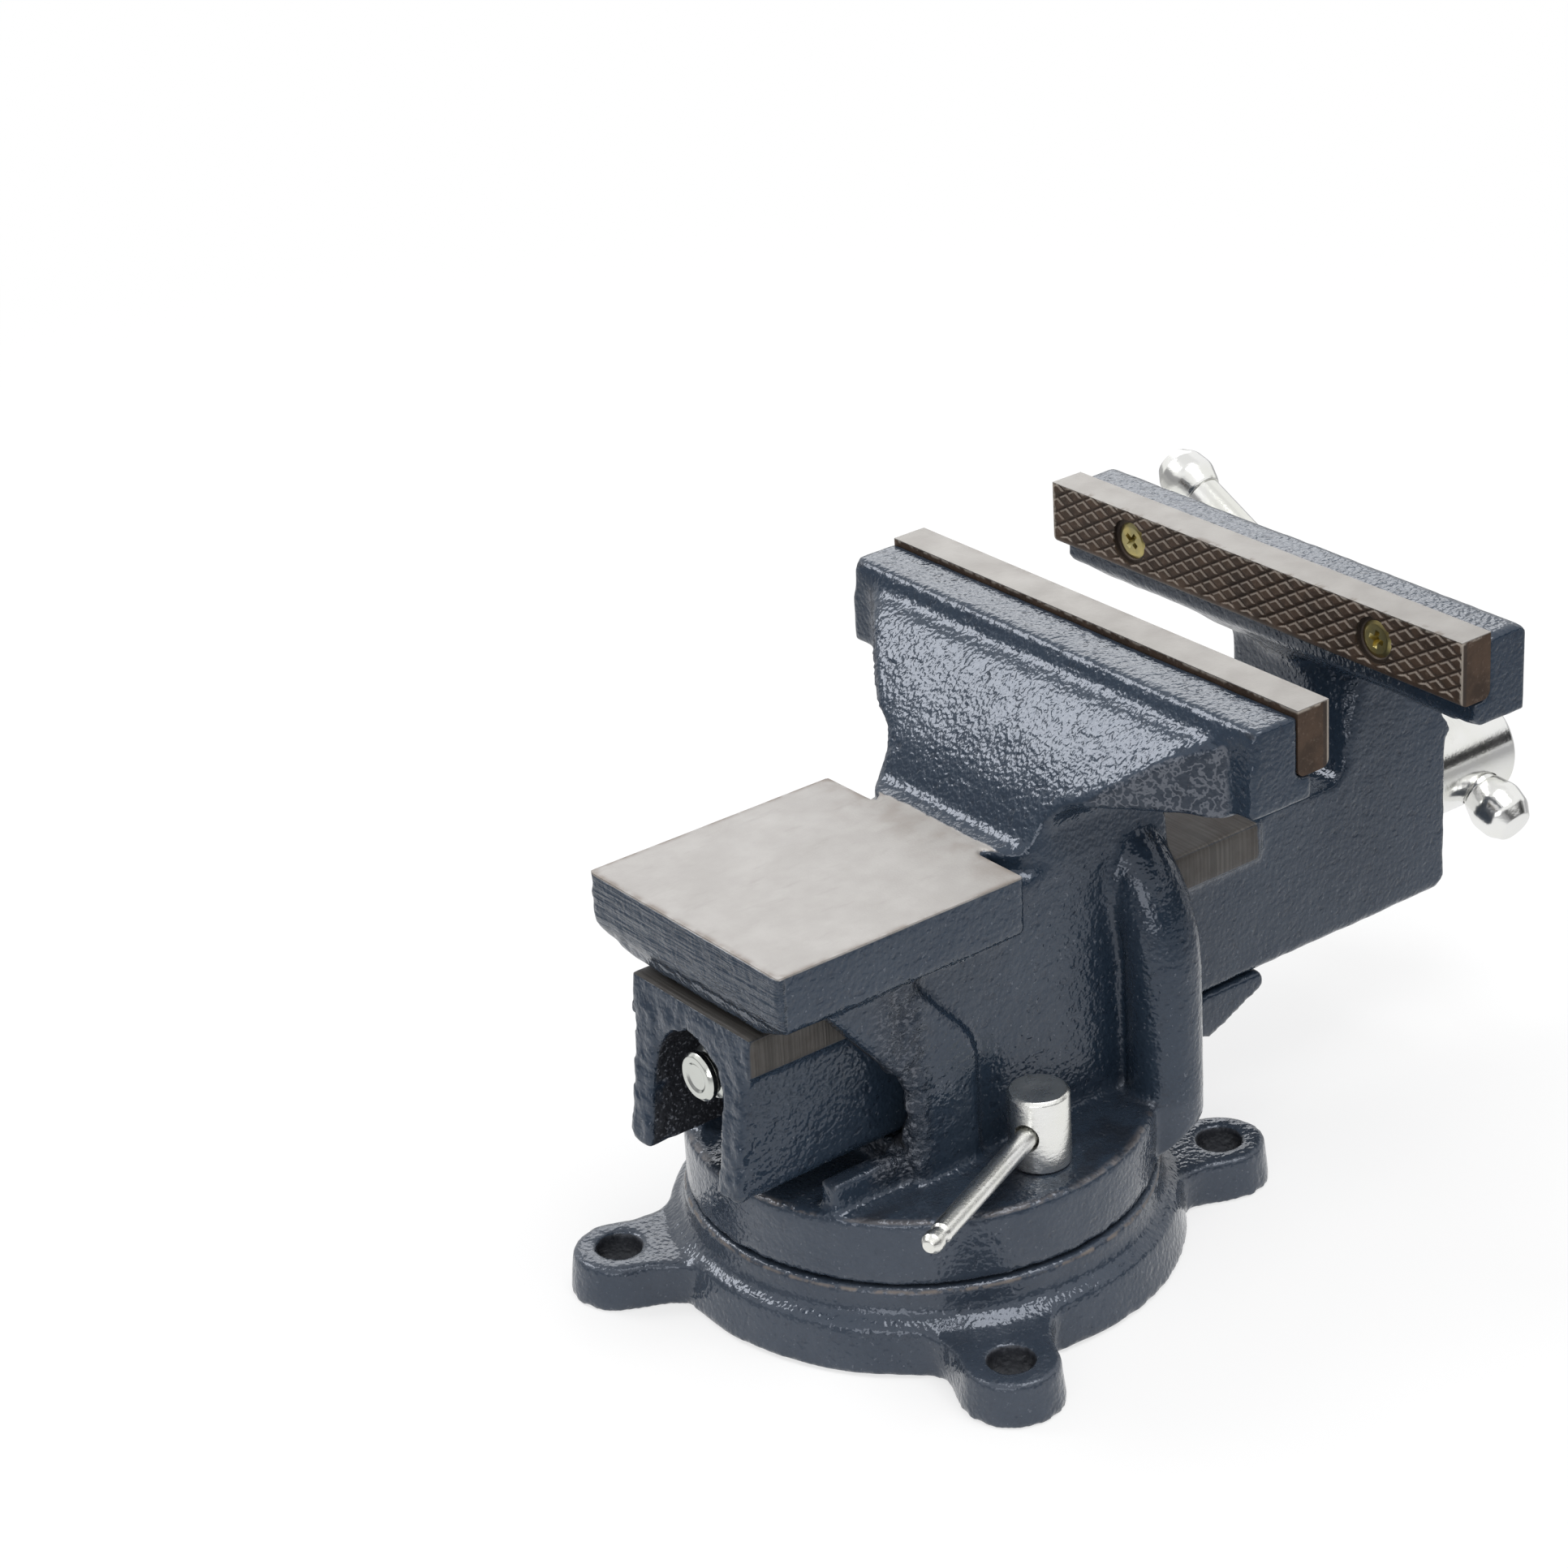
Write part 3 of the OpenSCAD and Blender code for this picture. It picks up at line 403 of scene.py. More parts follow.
# Glossy enamel with fine orange peel over cast iron, thin on outer edges, with painted shade in corners and
# in the peel's hollows, painted glints, outer edges lighter from wear and a painted highlight, and painted
# light below the disc.
# bare gives where the metal shows, its colour and its height; stain gives soot and painted shade, and pale
# flecks and painted reflections;
# ridges gives more height, and rust where the paint is brown
def paintMaterial(name, bare=None, stain=None, ridges=None, rust=None, worn=paint["worn"]):
    share, dull = paint["share"], paint["dull"]
    look = Look(name)
    edge = look.edge()
    large, fine = look.noise(*paint["largeNoise"]), look.noise(*paint["fineNoise"])
    ripple, broad = look.noise(*paint["rippleNoise"]), look.noise(*paint["broadNoise"])
    peel = look.cells(**paint["peel"])
    pit = look.noise(*paint["pitNoise"]).rise(0.58, 0.74)
    # Painted shade: the paint is darker in corners, where the edge value is below zero
    cornerShade = (-edge).rise(0.15, 0.8) * share["cornerShade"]
    thin = edge.rise(0.5, 0.9) * look.noise(*paint["chipNoise"]).rise(worn, worn + 0.11)
    # Painted light: below the disc's top the paint is lighter in patches, as if lit from the floor
    belowDisc = 1 - look.z.rise(discTop - 3 * mm, discTop + 2 * mm)
    lowLight = belowDisc * look.noise(*paint["lowLightNoise"]) * share["lowLight"]
    colour = large.rise(0.35, 0.68).blend(paint["base"], paint["pale"])
    # Painted shade: the peel's cells and the pits are darker where the bump makes them lower
    hollowShade = (peel.rise(0.25, 0.75) * share["peel"] + pit * share["pit"]).low(1.0)
    colour = hollowShade.blend(colour, paint["dark"])
    # Painted glints: sparse pale specks on the paint
    paintedGlints = look.noise(*paint["speckNoise"]).rise(0.66, 0.73) * share["glint"]
    colour = paintedGlints.blend(colour, paint["glint"])
    colour = cornerShade.blend(colour, paint["cornerShade"])
    colour = (thin * share["primer"]).blend(colour, paint["primer"])
    # Outer edges lighter: partly wear, partly a painted highlight
    colour = (edge.rise(0.3, 0.7) * share["edgeWearAndHighlight"]).blend(colour, paint["edgeWearAndHighlight"])
    colour = (crackedPaint(look, edge) * share["crack"]).blend(colour, paint["crack"])
    colour = lowLight.blend(colour, paint["lowLight"])
    rough = paint["rough"] + large * dull["large"] + fine * dull["fine"]
    rough = rough + thin * dull["primer"] + edge.rise(0.2, 0.6) * dull["edgeWearAndHighlight"] + cornerShade * dull["cornerShade"]
    metal = thin * paint["thinMetal"]
    height = peel * paint["peelHeight"] + pit * paint["pitHeight"] + fine * paint["fineHeight"]
    height = height + ripple * paint["rippleHeight"] + broad * paint["broadHeight"]
    if ridges:
        height = height + ridges(look)
    if rust:
        brown = rust(look)
        colour = brown.blend(colour, paint["rust"])
        rough = rough + brown * dull["rust"]
    if stain:
        # The stain's darkening is partly soot and oil, partly painted shade and painted shadow
        sootAndShade, flecks = stain(look)
        colour = sootAndShade.blend(colour, paint["sootAndShade"])
        # The stain's flecks are partly real flecks, partly painted reflection
        colour = flecks.blend(colour, paint["fleck"])
        rough = rough + sootAndShade * dull["sootAndShade"]
    if bare:
        mask, bareColour, bareHeight = (part(look) for part in bare)
        colour = mask.blend(colour, bareColour)
        bareRough = paint["bareRough"] + look.noise(*paint["bareNoise"]) * dull["bare"]
        rough = rough * (1 - mask) + mask * bareRough
        metal = metal * (1 - mask) + mask * paint["bareMetal"]
        height = height * (1 - mask) + bareHeight * mask
    normal = look.bump(height, paint["bumpDepth"])
    shine = {"specular": paint["specular"], "tint": paint["tint"]}
    return look.finish(colour=colour, rough=rough, metal=metal, normal=normal, **shine)


# Broken paint along the disc's rim and along the feet of the walls on it
def crackedPaint(look, edge):
    rim = edge.rise(0.15, 0.5) * look.z.within(discTop - 0.9 * mm, discTop + 0.1 * mm, 0.25 * mm)
    foot = (-edge).rise(0.6, 0.95) * look.z.within(discTop + 0.1 * mm, discTop + 1.5 * mm, 0.3 * mm)
    return (rim + foot).low(1.0) * look.noise(*paint["crackNoise"]).rise(0.40, 0.52)


# Ground iron on the anvil

anvilIron = {
    "pale": (0.37, 0.352, 0.332), "cloud": (0.42, 0.402, 0.382), "streak": (0.31, 0.292, 0.272),
    "stain": (0.25, 0.215, 0.185), "worn": (0.19, 0.155, 0.125),
    "cloudNoise": (70, 5, 0.62), "streakNoise": (300, 3, 0.6, (0.25, 1.0, 1.0)),
    "scratchNoise": (700, 3, 0.6, (0.15, 1.0, 1.0)), "scratchHeight": 0.7,
    "grainNoise": (1500, 2), "grainHeight": 0.4, "wanderNoise": (240, 3), "wander": 0.0022,
    "stainNoise": (120, 4), "stainReach": 0.016, "wornNoise": (150, 3),
}


# The anvil's top, with a front border that wanders
def anvilMask(look):
    wander = (look.noise(*anvilIron["wanderNoise"]) - 0.5) * anvilIron["wander"]
    top = look.z.rise(anvilTop - 0.7 * mm, anvilTop - 0.25 * mm)
    front = 1 - (look.x + wander).rise(anvilFront + 3.6 * mm, anvilFront + 4.4 * mm)
    return top * front * (1 - look.z.rise(anvilTop + 0.4 * mm, anvilTop + 0.8 * mm))


def anvilColour(look):
    cloud = look.noise(*anvilIron["cloudNoise"]).rise(0.3, 0.75)
    colour = cloud.blend(anvilIron["pale"], anvilIron["cloud"])
    streak = look.noise(*anvilIron["streakNoise"]).rise(0.56, 0.80) * 0.5
    colour = streak.blend(colour, anvilIron["streak"])
    rim = 1 - (anvilFront - look.x).rise(0.0, anvilIron["stainReach"])
    rim = rim * look.noise(*anvilIron["stainNoise"]).rise(0.35, 0.7) * 0.55
    colour = rim.blend(colour, anvilIron["stain"])
    worn = look.edge().rise(0.05, 0.35) * look.noise(*anvilIron["wornNoise"]).rise(0.35, 0.6) * 0.7
    return worn.blend(colour, anvilIron["worn"])


def anvilHeight(look):
    scratches = look.noise(*anvilIron["scratchNoise"]) * anvilIron["scratchHeight"]
    return scratches + look.noise(*anvilIron["grainNoise"]) * anvilIron["grainHeight"]


# Marks on the turning body, in mm

bodyMarks = {
    "wingX": 24, "wingY": 40, "wingTaper": 1.31, "wingEnds": (18, 44.6),
    "wallOuter": (33, 36), "wallTorn": (30, 37), "wallGap": (28.6, 29.6), "raggedness": 6,
    "ridgeEnds": (-36, -23), "tornEnds": (-38, -23), "gapFront": (-14, -12),
    "ridgeNoise": (260, 3, 0.6, (1.0, 0.10, 3.0)), "ridgeHeight": 9.0,
    "tornNoise": (620, 3, 0.6), "tornHeight": 13.0, "fleckNoise": (1100, 3, 0.6, (0.6, 0.6, 1.0)),
    "reflectionVeinNoise": (420, 2), "oilNoise": (90, 4, 0.6), "raggedNoise": (240, 4, 0.65),
}


def inMm(pair):
    return [value * mm for value in pair]


# Coarse level scratches on the anvil's rear end, and torn skin on the walls' rear ends
def bodyRidges(look):
    marks = bodyMarks
    rear = 1 - look.x.rise(anvilRear + 1.2 * mm, anvilRear + 2.4 * mm)
    rear = rear * look.z.within(anvilTop - 15 * mm, anvilTop, 1.0 * mm)
    ends = look.x.within(*inMm(marks["ridgeEnds"]), 3.0 * mm)
    ends = ends * look.z.within(discTop + 2 * mm, anvilTop - 19 * mm, 3 * mm)
    ends = ends * (1 - abs(look.y).rise(*inMm(marks["wallTorn"])))
    scratches = rear * look.noise(*marks["ridgeNoise"]) * marks["ridgeHeight"]
    return scratches + ends * look.noise(*marks["tornNoise"]) * marks["tornHeight"]


# The wings' tapered sides, between the neck and the jaw's ends
def wingSides(look):
    marks = bodyMarks
    taper = abs(look.y) - (look.x - marks["wingX"] * mm) * marks["wingTaper"] - marks["wingY"] * mm
    side = taper.rise(-1.6 * mm, -0.9 * mm) * look.x.within(*inMm(marks["wingEnds"]), 0.3 * mm)
    return side * look.z.within(anvilTop + 11.5 * mm, plateTop - 7 * mm, 0.4 * mm)


# Oil round the lock screws
def discOil(look):
    flat = look.z.within(discTop - 0.8 * mm, discTop + 0.8 * mm, 0.3 * mm)
    side = abs(look.y).rise(*inMm(bodyMarks["wallOuter"]))
    return flat * side * look.noise(*bodyMarks["oilNoise"]).rise(0.42, 0.66) * 0.6


# The dull upper rear edge of the jaw's block, darkened with painted shade
def blockEdgeShade(look):
    edge = look.edge().rise(0.1, 0.35) * look.x.within(blockBack - 1 * mm, blockBack + 1.6 * mm, 0.3 * mm)
    return edge * look.z.rise(wingTop + 2.5 * mm, wingTop + 3.5 * mm) * 0.6


# Painted shadow in the gap beside the slide, with a ragged border, darker torn skin round it, and flecks on
# that skin
def tornWalls(look):
    marks = bodyMarks
    ragged = abs(look.y) + (look.noise(*marks["raggedNoise"]) - 0.5) * (marks["raggedness"] * mm)
    gapShadow = (1 - ragged.rise(*inMm(marks["wallGap"]))) * (1 - look.x.rise(*inMm(marks["gapFront"])))
    gapShadow = gapShadow * look.z.within(discTop + 8 * mm, slideTop - 8 * mm, 2 * mm)
    torn = look.x.within(*inMm(marks["tornEnds"]), 3.0 * mm)
    torn = torn * look.z.within(discTop + 2 * mm, anvilTop - 17 * mm, 3 * mm)
    torn = torn * (1 - ragged.rise(*inMm(marks["wallTorn"])))
    flecks = torn * (1 - gapShadow) * look.noise(*marks["fleckNoise"]).rise(0.52, 0.60) * 0.7
    return gapShadow.high(torn * 0.5), flecks


# Oil stains, darker torn skin, painted shade and flecks of the turning body; on the wings' sides painted
# shade, with veins of painted reflection as the flecks
def bodyStain(look):
    wing = wingSides(look)
    reflectionVeins = 1 - abs(look.noise(*bodyMarks["reflectionVeinNoise"]) - 0.5).rise(0.02, 0.075)
    gapShadow, flecks = tornWalls(look)
    sootAndShade = discOil(look).high(wing * 0.3).high(blockEdgeShade(look)).high(gapShadow)
    return sootAndShade, (wing * reflectionVeins * 0.5).high(flecks)


# Milled iron on the slide

slideIron = {
    "base": (0.082, 0.077, 0.070), "mill": (0.120, 0.112, 0.103), "stain": (0.062, 0.051, 0.043),
    "millNoise": (420, 3, 0.6, (3.0, 0.06, 0.06)), "millHeight": 2.0, "stainNoise": (60, 4, 0.6),
    "wanderNoise": (300, 3), "wander": 0.0016, "stripHeight": 10.4, "stripSide": (23.2, 23.5),
}


# The slide's top and its side strips, from the rear to just behind the moving jaw
def slideMask(look):
    wander = (look.noise(*slideIron["wanderNoise"]) - 0.5) * slideIron["wander"]
    reach = 1 - (look.x + wander).rise(movingFace - 19.5 * mm, movingFace - 18.5 * mm)
    top = look.z.rise(slideTop - 0.5 * mm, slideTop - 0.25 * mm)
    top = top * (1 - look.z.rise(slideTop + 0.3 * mm, slideTop + 0.7 * mm))
    strip = look.z.within(slideTop - slideIron["stripHeight"] * mm, slideTop + 0.2 * mm, 0.15 * mm)
    strip = strip * abs(look.y).rise(*inMm(slideIron["stripSide"]))
    return (top + strip).low(1.0) * reach * look.x.rise(anvilRear + 0.4 * mm, anvilRear + 1.2 * mm)


def slideColour(look):
    mill = look.noise(*slideIron["millNoise"]).rise(0.35, 0.65)
    stain = look.noise(*slideIron["stainNoise"]).rise(0.4, 0.72) * 0.7
    return stain.blend(mill.blend(slideIron["base"], slideIron["mill"]), slideIron["stain"])


def slideHeight(look):
    return look.noise(*slideIron["millNoise"]) * slideIron["millHeight"]


hollow = {"archRise": 22.3, "wall": (14.1, 14.5), "rearLean": -0.135, "speckNoise": (1300, 3, 0.6)}


# The slide's hollow: an arch seen from the rear, sooty inside with pale specks
def slideHollow(look):
    archZ = slideBottom + hollow["archRise"] * mm
    above = look.z - archZ
    arch = (look.y * look.y + above * above).root() * look.z.rise(archZ - 1e-5, archZ + 1e-5)
    inside = 1 - abs(look.y).high(arch).rise(*inMm(hollow["wall"]))
    lean = look.x - (slideTop - look.z) * hollow["rearLean"]
    rear = lean.rise(anvilRear + 2.0 * mm, anvilRear + 3.0 * mm)
    inside = inside * rear * (1 - look.x.rise(headStart - 26 * mm, headStart - 23 * mm))
    return inside * 0.94, inside * look.noise(*hollow["speckNoise"]).rise(0.57, 0.66) * 0.75


baseMarks = {
    "bore": (5.95, 6.25), "boreNoise": (420, 4, 0.6),
    "rim": (59.9, 61.5), "rimNoise": (200, 3, 0.6),
}


# Bare dark iron in the lugs' bores
def lugBores(look):
    nearest = None
    for x, y in lugPlaces.tolist():
        away = look.away(x, y)
        nearest = away if nearest is None else nearest.low(away)
    inside = 1 - nearest.rise(*inMm(baseMarks["bore"]))
    return inside * 0.9, inside * look.noise(*baseMarks["boreNoise"]).rise(0.5, 0.7) * 0.12


# Bare brown rim of the base beside the disc
def baseRim(look):
    ring = look.away().within(*inMm(baseMarks["rim"]), 0.25 * mm)
    ring = ring * look.z.rise(discTop - 20.0 * mm, discTop - 19.2 * mm)
    return ring * look.noise(*baseMarks["rimNoise"]).rise(0.40, 0.56)


# Zinc plate: bright or satin turned metal with a faint green cast and fine turning marks

zinc = {
    "bright": (0.84, 0.84, 0.825), "dull": (0.79, 0.79, 0.74), "tip": (0.34, 0.37, 0.32),
    "smear": (0.40, 0.39, 0.35), "castNoise": (55, 3), "smearNoise": (130, 5, 0.65), "roughNoise": (200, 3),
    "ringScale": 1200, "grainNoise": (1500, 2), "strength": 0.6,
    "head": {"rings": (1.0, 0.04, 0.04), "smear": 0.5, "satin": 0.09, "tipShade": 0.5, "depth": 0.00005},
    "lock": {"rings": (0.3, 0.3, 1.0), "smear": 0.8, "satin": 0.20, "tipShade": 0.0, "depth": 0.00010},
    "bar": {"rings": (1.0, 1.0, 1.0), "smear": 0.3, "satin": 0.13, "tipShade": 0.0, "depth": 0.00005},
}


def zincMaterial(name, finish):
    look = Look(name)
    grain = look.noise(zinc["ringScale"], 2, 0.6, finish["rings"])
    colour = look.noise(*zinc["castNoise"]).rise(0.35, 0.7).blend(zinc["bright"], zinc["dull"])
    tip = 1 - look.x.rise(anvilRear + 30 * mm, anvilRear + 60 * mm)
    colour = (tip * finish["tipShade"]).blend(colour, zinc["tip"])
    smear = look.noise(*zinc["smearNoise"]).rise(0.60, 0.78) * 0.3 * finish["smear"]
    colour = smear.blend(colour, zinc["smear"])
    rough = finish["satin"] + look.noise(*zinc["roughNoise"]) * 0.08 + grain * 0.07
    normal = look.bump(grain + look.noise(*zinc["grainNoise"]) * 0.8, finish["depth"], zinc["strength"])
    return look.finish(colour=colour, rough=rough, metal=1.0, normal=normal)


# Plain metals: two tones mixed by noise, and a fine grain

plainMetals = {
    "goldZinc": {"tones": ((0.52, 0.43, 0.17), (0.38, 0.34, 0.17)), "toneNoise": (260, 3), "rough": 0.26,
                 "mottle": 0.12, "metal": 1.0, "grainNoise": (2500, 2), "depth": 0.00006, "strength": 0.5},
    "bareIron": {"tones": ((0.14, 0.13, 0.12), (0.22, 0.19, 0.16)), "toneNoise": (180, 4), "rough": 0.5,
                 "mottle": 0.2, "metal": 0.7, "grainNoise": (900, 3), "depth": 0.0002, "strength": 0.6},
    "plainSteel": {"tones": ((0.50, 0.49, 0.47), (0.40, 0.385, 0.36)), "toneNoise": (220, 3), "rough": 0.3,
                   "mottle": 0.15, "metal": 1.0, "grainNoise": (1800, 2), "depth": 0.00008, "strength": 0.5},
}


def plainMetal(name):
    finish = plainMetals[name]
    look = Look(name)
    tone = look.noise(*finish["toneNoise"])
    colour = tone.rise(0.3, 0.7).blend(*finish["tones"])
    rough = finish["rough"] + tone * finish["mottle"]
    normal = look.bump(look.noise(*finish["grainNoise"]), finish["depth"], finish["strength"])
    return look.finish(colour=colour, rough=rough, metal=finish["metal"], normal=normal)


# Blackened steel of the jaw plates, ground on top, with a painted highlight on the groove walls that face
# upward

plateSteel = {
    "brown": (0.092, 0.060, 0.042), "black": (0.052, 0.036, 0.027), "grain": (0.19, 0.145, 0.115),
    "valley": (0.045, 0.038, 0.034), "grooveHighlight": (0.30, 0.265, 0.23), "ground": (0.315, 0.303, 0.288),
    "groundDark": (0.27, 0.257, 0.243), "smear": (0.13, 0.10, 0.08), "rim": (0.50, 0.45, 0.39),
    "blotchNoise": (150, 4, 0.6), "fineNoise": (900, 3, 0.6), "smearNoise": (240, 4, 0.65, (0.5, 1.0, 1.0)),
    "grooveHighlightNoise": (300, 3), "groundNoise": (80, 4), "rimNoise": (500, 3), "grainNoise": (380, 3),
    "rough": 0.46, "mottle": 0.16, "groundSmooth": 0.08, "metal": 0.55, "groundMetal": 0.2,
    "bumpDepth": 0.00012, "strength": 0.6, "specular": 0.25, "smeared": {1: 0.15, -1: 0.7},
}


def plateMaterial(name, faceX, outward):
    finish = plateSteel
    look = Look(name)
    depth = (look.x - faceX) * -outward
    blotch, fine = look.noise(*finish["blotchNoise"]), look.noise(*finish["fineNoise"])
    colour = blotch.rise(0.32, 0.7).blend(finish["brown"], finish["black"])
    colour = (fine.rise(0.55, 0.75) * 0.4).blend(colour, finish["grain"])
    valley = depth.rise(0.25 * mm, 0.6 * mm) * (1 - depth.rise(1.6 * mm, 2.0 * mm))
    colour = (valley * 0.65).blend(colour, finish["valley"])
    # Painted highlight on the groove walls that face upward
    grooveHighlight = look.edge().rise(0.15, 0.7) * (0.4 + look.noise(*finish["grooveHighlightNoise"]) * 0.7)
    colour = (grooveHighlight * 0.75).low(1.0).blend(colour, finish["grooveHighlight"])
    top = look.z.rise(plateTop - 0.35 * mm, plateTop - 0.12 * mm)
    ground = look.noise(*finish["groundNoise"]).rise(0.3, 0.7)
    ground = ground.blend(finish["ground"], finish["groundDark"])
    smear = (1 - depth.rise(0.2 * mm, 2.4 * mm)) * look.noise(*finish["smearNoise"]).rise(0.52, 0.62)
    ground = (smear * finish["smeared"][outward]).blend(ground, finish["smear"])
    colour = top.blend(colour, ground)
    rim = look.z.rise(plateTop - 1.1 * mm, plateTop - 0.3 * mm)
    rim = rim * look.noise(*finish["rimNoise"]).rise(0.4, 0.6)
    endRim = abs(look.y).rise(jawHalf - 0.8 * mm, jawHalf - 0.2 * mm) * (1 - depth.rise(0.3 * mm, 0.8 * mm))
    colour = ((rim + endRim * 0.8).low(1.0) * (1 - top) * 0.8).blend(colour, finish["rim"])
    rough = finish["rough"] + blotch * finish["mottle"] - top * finish["groundSmooth"]
    metal = finish["metal"] + top * finish["groundMetal"]
    height = fine * 0.6 + look.noise(*finish["grainNoise"])
    normal = look.bump(height, finish["bumpDepth"], finish["strength"])
    return look.finish(colour=colour, rough=rough, metal=metal, normal=normal, specular=finish["specular"])


paintBase = paintMaterial("paintBase", stain=lugBores, rust=baseRim, worn=paint["baseWorn"])
paintFixed = paintMaterial("paintFixed", (anvilMask, anvilColour, anvilHeight), bodyStain, bodyRidges)
paintMoving = paintMaterial("paintMoving", (slideMask, slideColour, slideHeight), slideHollow)
zincHead = zincMaterial("zincHead", zinc["head"])
zincLock = zincMaterial("zincLock", zinc["lock"])
zincBar = zincMaterial("zincBar", zinc["bar"])
gold, iron, steel = (plainMetal(name) for name in plainMetals)
print("materials made")


# Castings

movingX, slideZ = movingFace / mm, slideTop / mm
blockX, wingZ = blockBack / mm, wingTop / mm
castingSettings = {"ease": 3, "easeStep": 0.55, "sharp": 60, "bendTurns": 3, "bendStep": 0.6,
                   "chipSize": 3.2, "chipSeed": 11, "tornSeed": 23}


# A casting: a copy of the node's solid, made into even cells, eased at its edges and given an uneven skin.
# The vertex value "edge" is above zero on outer edges and below zero in corners.
def casting(name, node, settings):
    common = castingSettings
    cell = settings["cell"] * mm
    mesh = nodes[node].data.copy()
    mesh.materials.clear()
    cleanMesh(mesh)
    piece = addObject(name, mesh)
    cut(piece, settings["cuts"]())
    step = piece.modifiers.new("cells", "REMESH")
    step.mode, step.voxel_size, step.adaptivity = "VOXEL", cell, 0
    bake(piece)
    mesh = piece.data
    count = len(mesh.vertices)
    co = settings["shape"](vertexRows(mesh, "co"))
    ends = np.zeros(len(mesh.edges) * 2, np.int64)
    mesh.edges.foreach_get("vertices", ends)
    first, second = ends.reshape(-1, 2).T
    degree = np.bincount(ends, minlength=count)

    # Mean of each point's neighbours
    def around(values):
        total = np.bincount(first, values[second], count) + np.bincount(second, values[first], count)
        return total / degree

    def pull(points):
        return np.stack([around(points[:, k]) for k in range(3)], 1) - points

    firm = settings["firm"](co)
    for turn in range(common["ease"]):
        co = co + pull(co) * (common["easeStep"] * (1 - firm)[:, None])
    for where, turns in settings["soft"]:
        weight = where(co)
        for turn in range(turns):
            co = co + pull(co) * (common["easeStep"] * weight[:, None])
    mesh.vertices.foreach_set("co", co.ravel())
    mesh.update()
    normal = vertexRows(mesh, "normal")
    bend = -np.sum(pull(co) * normal, 1) / cell
    for turn in range(common["bendTurns"]):
        bend = bend + (around(bend) - bend) * common["bendStep"]
    bend = np.clip(bend * settings["bend"], -1, 1)
    chips = latticeNoise(co, common["chipSize"] * mm, common["chipSeed"])
    skin = chips * np.clip(bend, 0, 1) * settings["chip"] * mm
    for seed, (size, depth) in enumerate(settings["skin"]):
        skin = skin + latticeNoise(co, size * mm, seed) * depth * mm
    for where, size, depth in settings["torn"]:
        skin = skin + where(co) * latticeNoise(co, size * mm, common["tornSeed"]) * depth * mm
    co = settings["trim"](co + normal * (skin * (1 - firm))[:, None], normal)
    low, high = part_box(node)
    co = np.clip(co, np.array(low), np.array(high))
    mesh.vertices.foreach_set("co", co.ravel())
    setVertexValue(mesh, "edge", bend)
    mesh.update()
    shadeSmooth(piece, common["sharp"])
    print("casting", name, sum(len(p.vertices) - 2 for p in mesh.polygons), "triangles")
    return piece


def noCuts():
    return []


def noneFirm(co):
    return np.zeros(len(co))


def asItIs(co, normal=None):
    return co


# A weight that is 1 inside a box in mm and fades across its border
def zone(low, high, fade):
    def weight(co):
        inside = np.minimum(co - np.array(low) * mm, np.array(high) * mm - co).min(1)
        return np.clip(inside / (fade * mm) + 0.5, 0, 1)
    return weight


# Plans in mm and levels below the slide's top
wallHollow = {
    "shut": [(-48, 20), (-15, 20), (-15, 23.6), (-48, 23.6)],
    "wide": [(-48, 20), (-15, 20), (-15, 24.4), (-48, 40)],
    "bottom": 44, "middle": 27, "top": 5,
}


# A torn hollow in each wall's inner edge at its rear end, widest at its middle level
def bodyCuts():
    form = wallHollow
    bottom, middle, top = (slideZ - form[level] for level in ("bottom", "middle", "top"))
    out = []
    for side in (-1, 1):
        out.append(planBlock(side, form["shut"], form["wide"], bottom, middle))
        out.append(planBlock(side, form["wide"], form["shut"], middle, top))
    return out


# Lengths in mm from the moving jaw's face, levels from the slide's top, and distances from the middle
slideForm = {
    "paint": (-17.5, 56), "paintSide": (22.02, 30), "paintLevel": (-11.7, 1.8),
    "neckStart": 4, "neckOut": 26, "neckLevel": (4, 31.3),
    "footOuter": 15, "footInner": 13.6, "footSide": 20, "browInner": 13.5, "browSide": 6,
    "lean": {-1: 10.4, 1: 1.95},
}


# The slide's sides are flush ahead of the bare strips, and the neck's rear corners lean forward as they
# rise, the near one more than the far one
def slideCuts():
    form = slideForm
    rear, front = (movingX + x for x in form["paint"])
    inner, outer = form["paintSide"]
    flush = [(rear, inner), (front, inner), (front, outer), (rear, outer)]
    start, reach = movingX + form["neckStart"], form["neckOut"]
    foot = [(start, reach), (movingX + form["footOuter"], reach),
            (movingX + form["footInner"], form["footSide"]), (start, form["footSide"])]
    out = []
    for side, lean in form["lean"].items():
        back = movingX + form["browInner"]
        brow = [(start, reach), (back + lean, reach), (back, form["browSide"]), (start, form["browSide"])]
        out.append(planBlock(side, flush, flush, *(slideZ + z for z in form["paintLevel"])))
        out.append(planBlock(side, foot, brow, *(slideZ + z for z in form["neckLevel"])))
    return out


columnFoot = {"discReach": 60.0, "discDrop": 15.2, "outReach": 71.6, "outDrop": 6.7}


# The front columns' feet taper into the disc's side: what lies outside a cone about the swivel axis
# moves square onto the cone
def footTaper(co):
    form = columnFoot
    run, rise = (form["outReach"] - form["discReach"]) * mm, (form["discDrop"] - form["outDrop"]) * mm
    slant = math.hypot(run, rise)
    away = np.hypot(co[:, 0], co[:, 1])
    up = co[:, 2] - discTop + form["discDrop"] * mm
    past = ((away - form["discReach"] * mm) * rise - up * run) / slant
    past = np.where((away > form["discReach"] * mm) & (up < rise + 1 * mm), np.maximum(past, 0), 0)
    co = co.copy()
    co[:, :2] *= (1 - past * rise / slant / np.maximum(away, mm))[:, None]
    co[:, 2] += past * run / slant
    return co


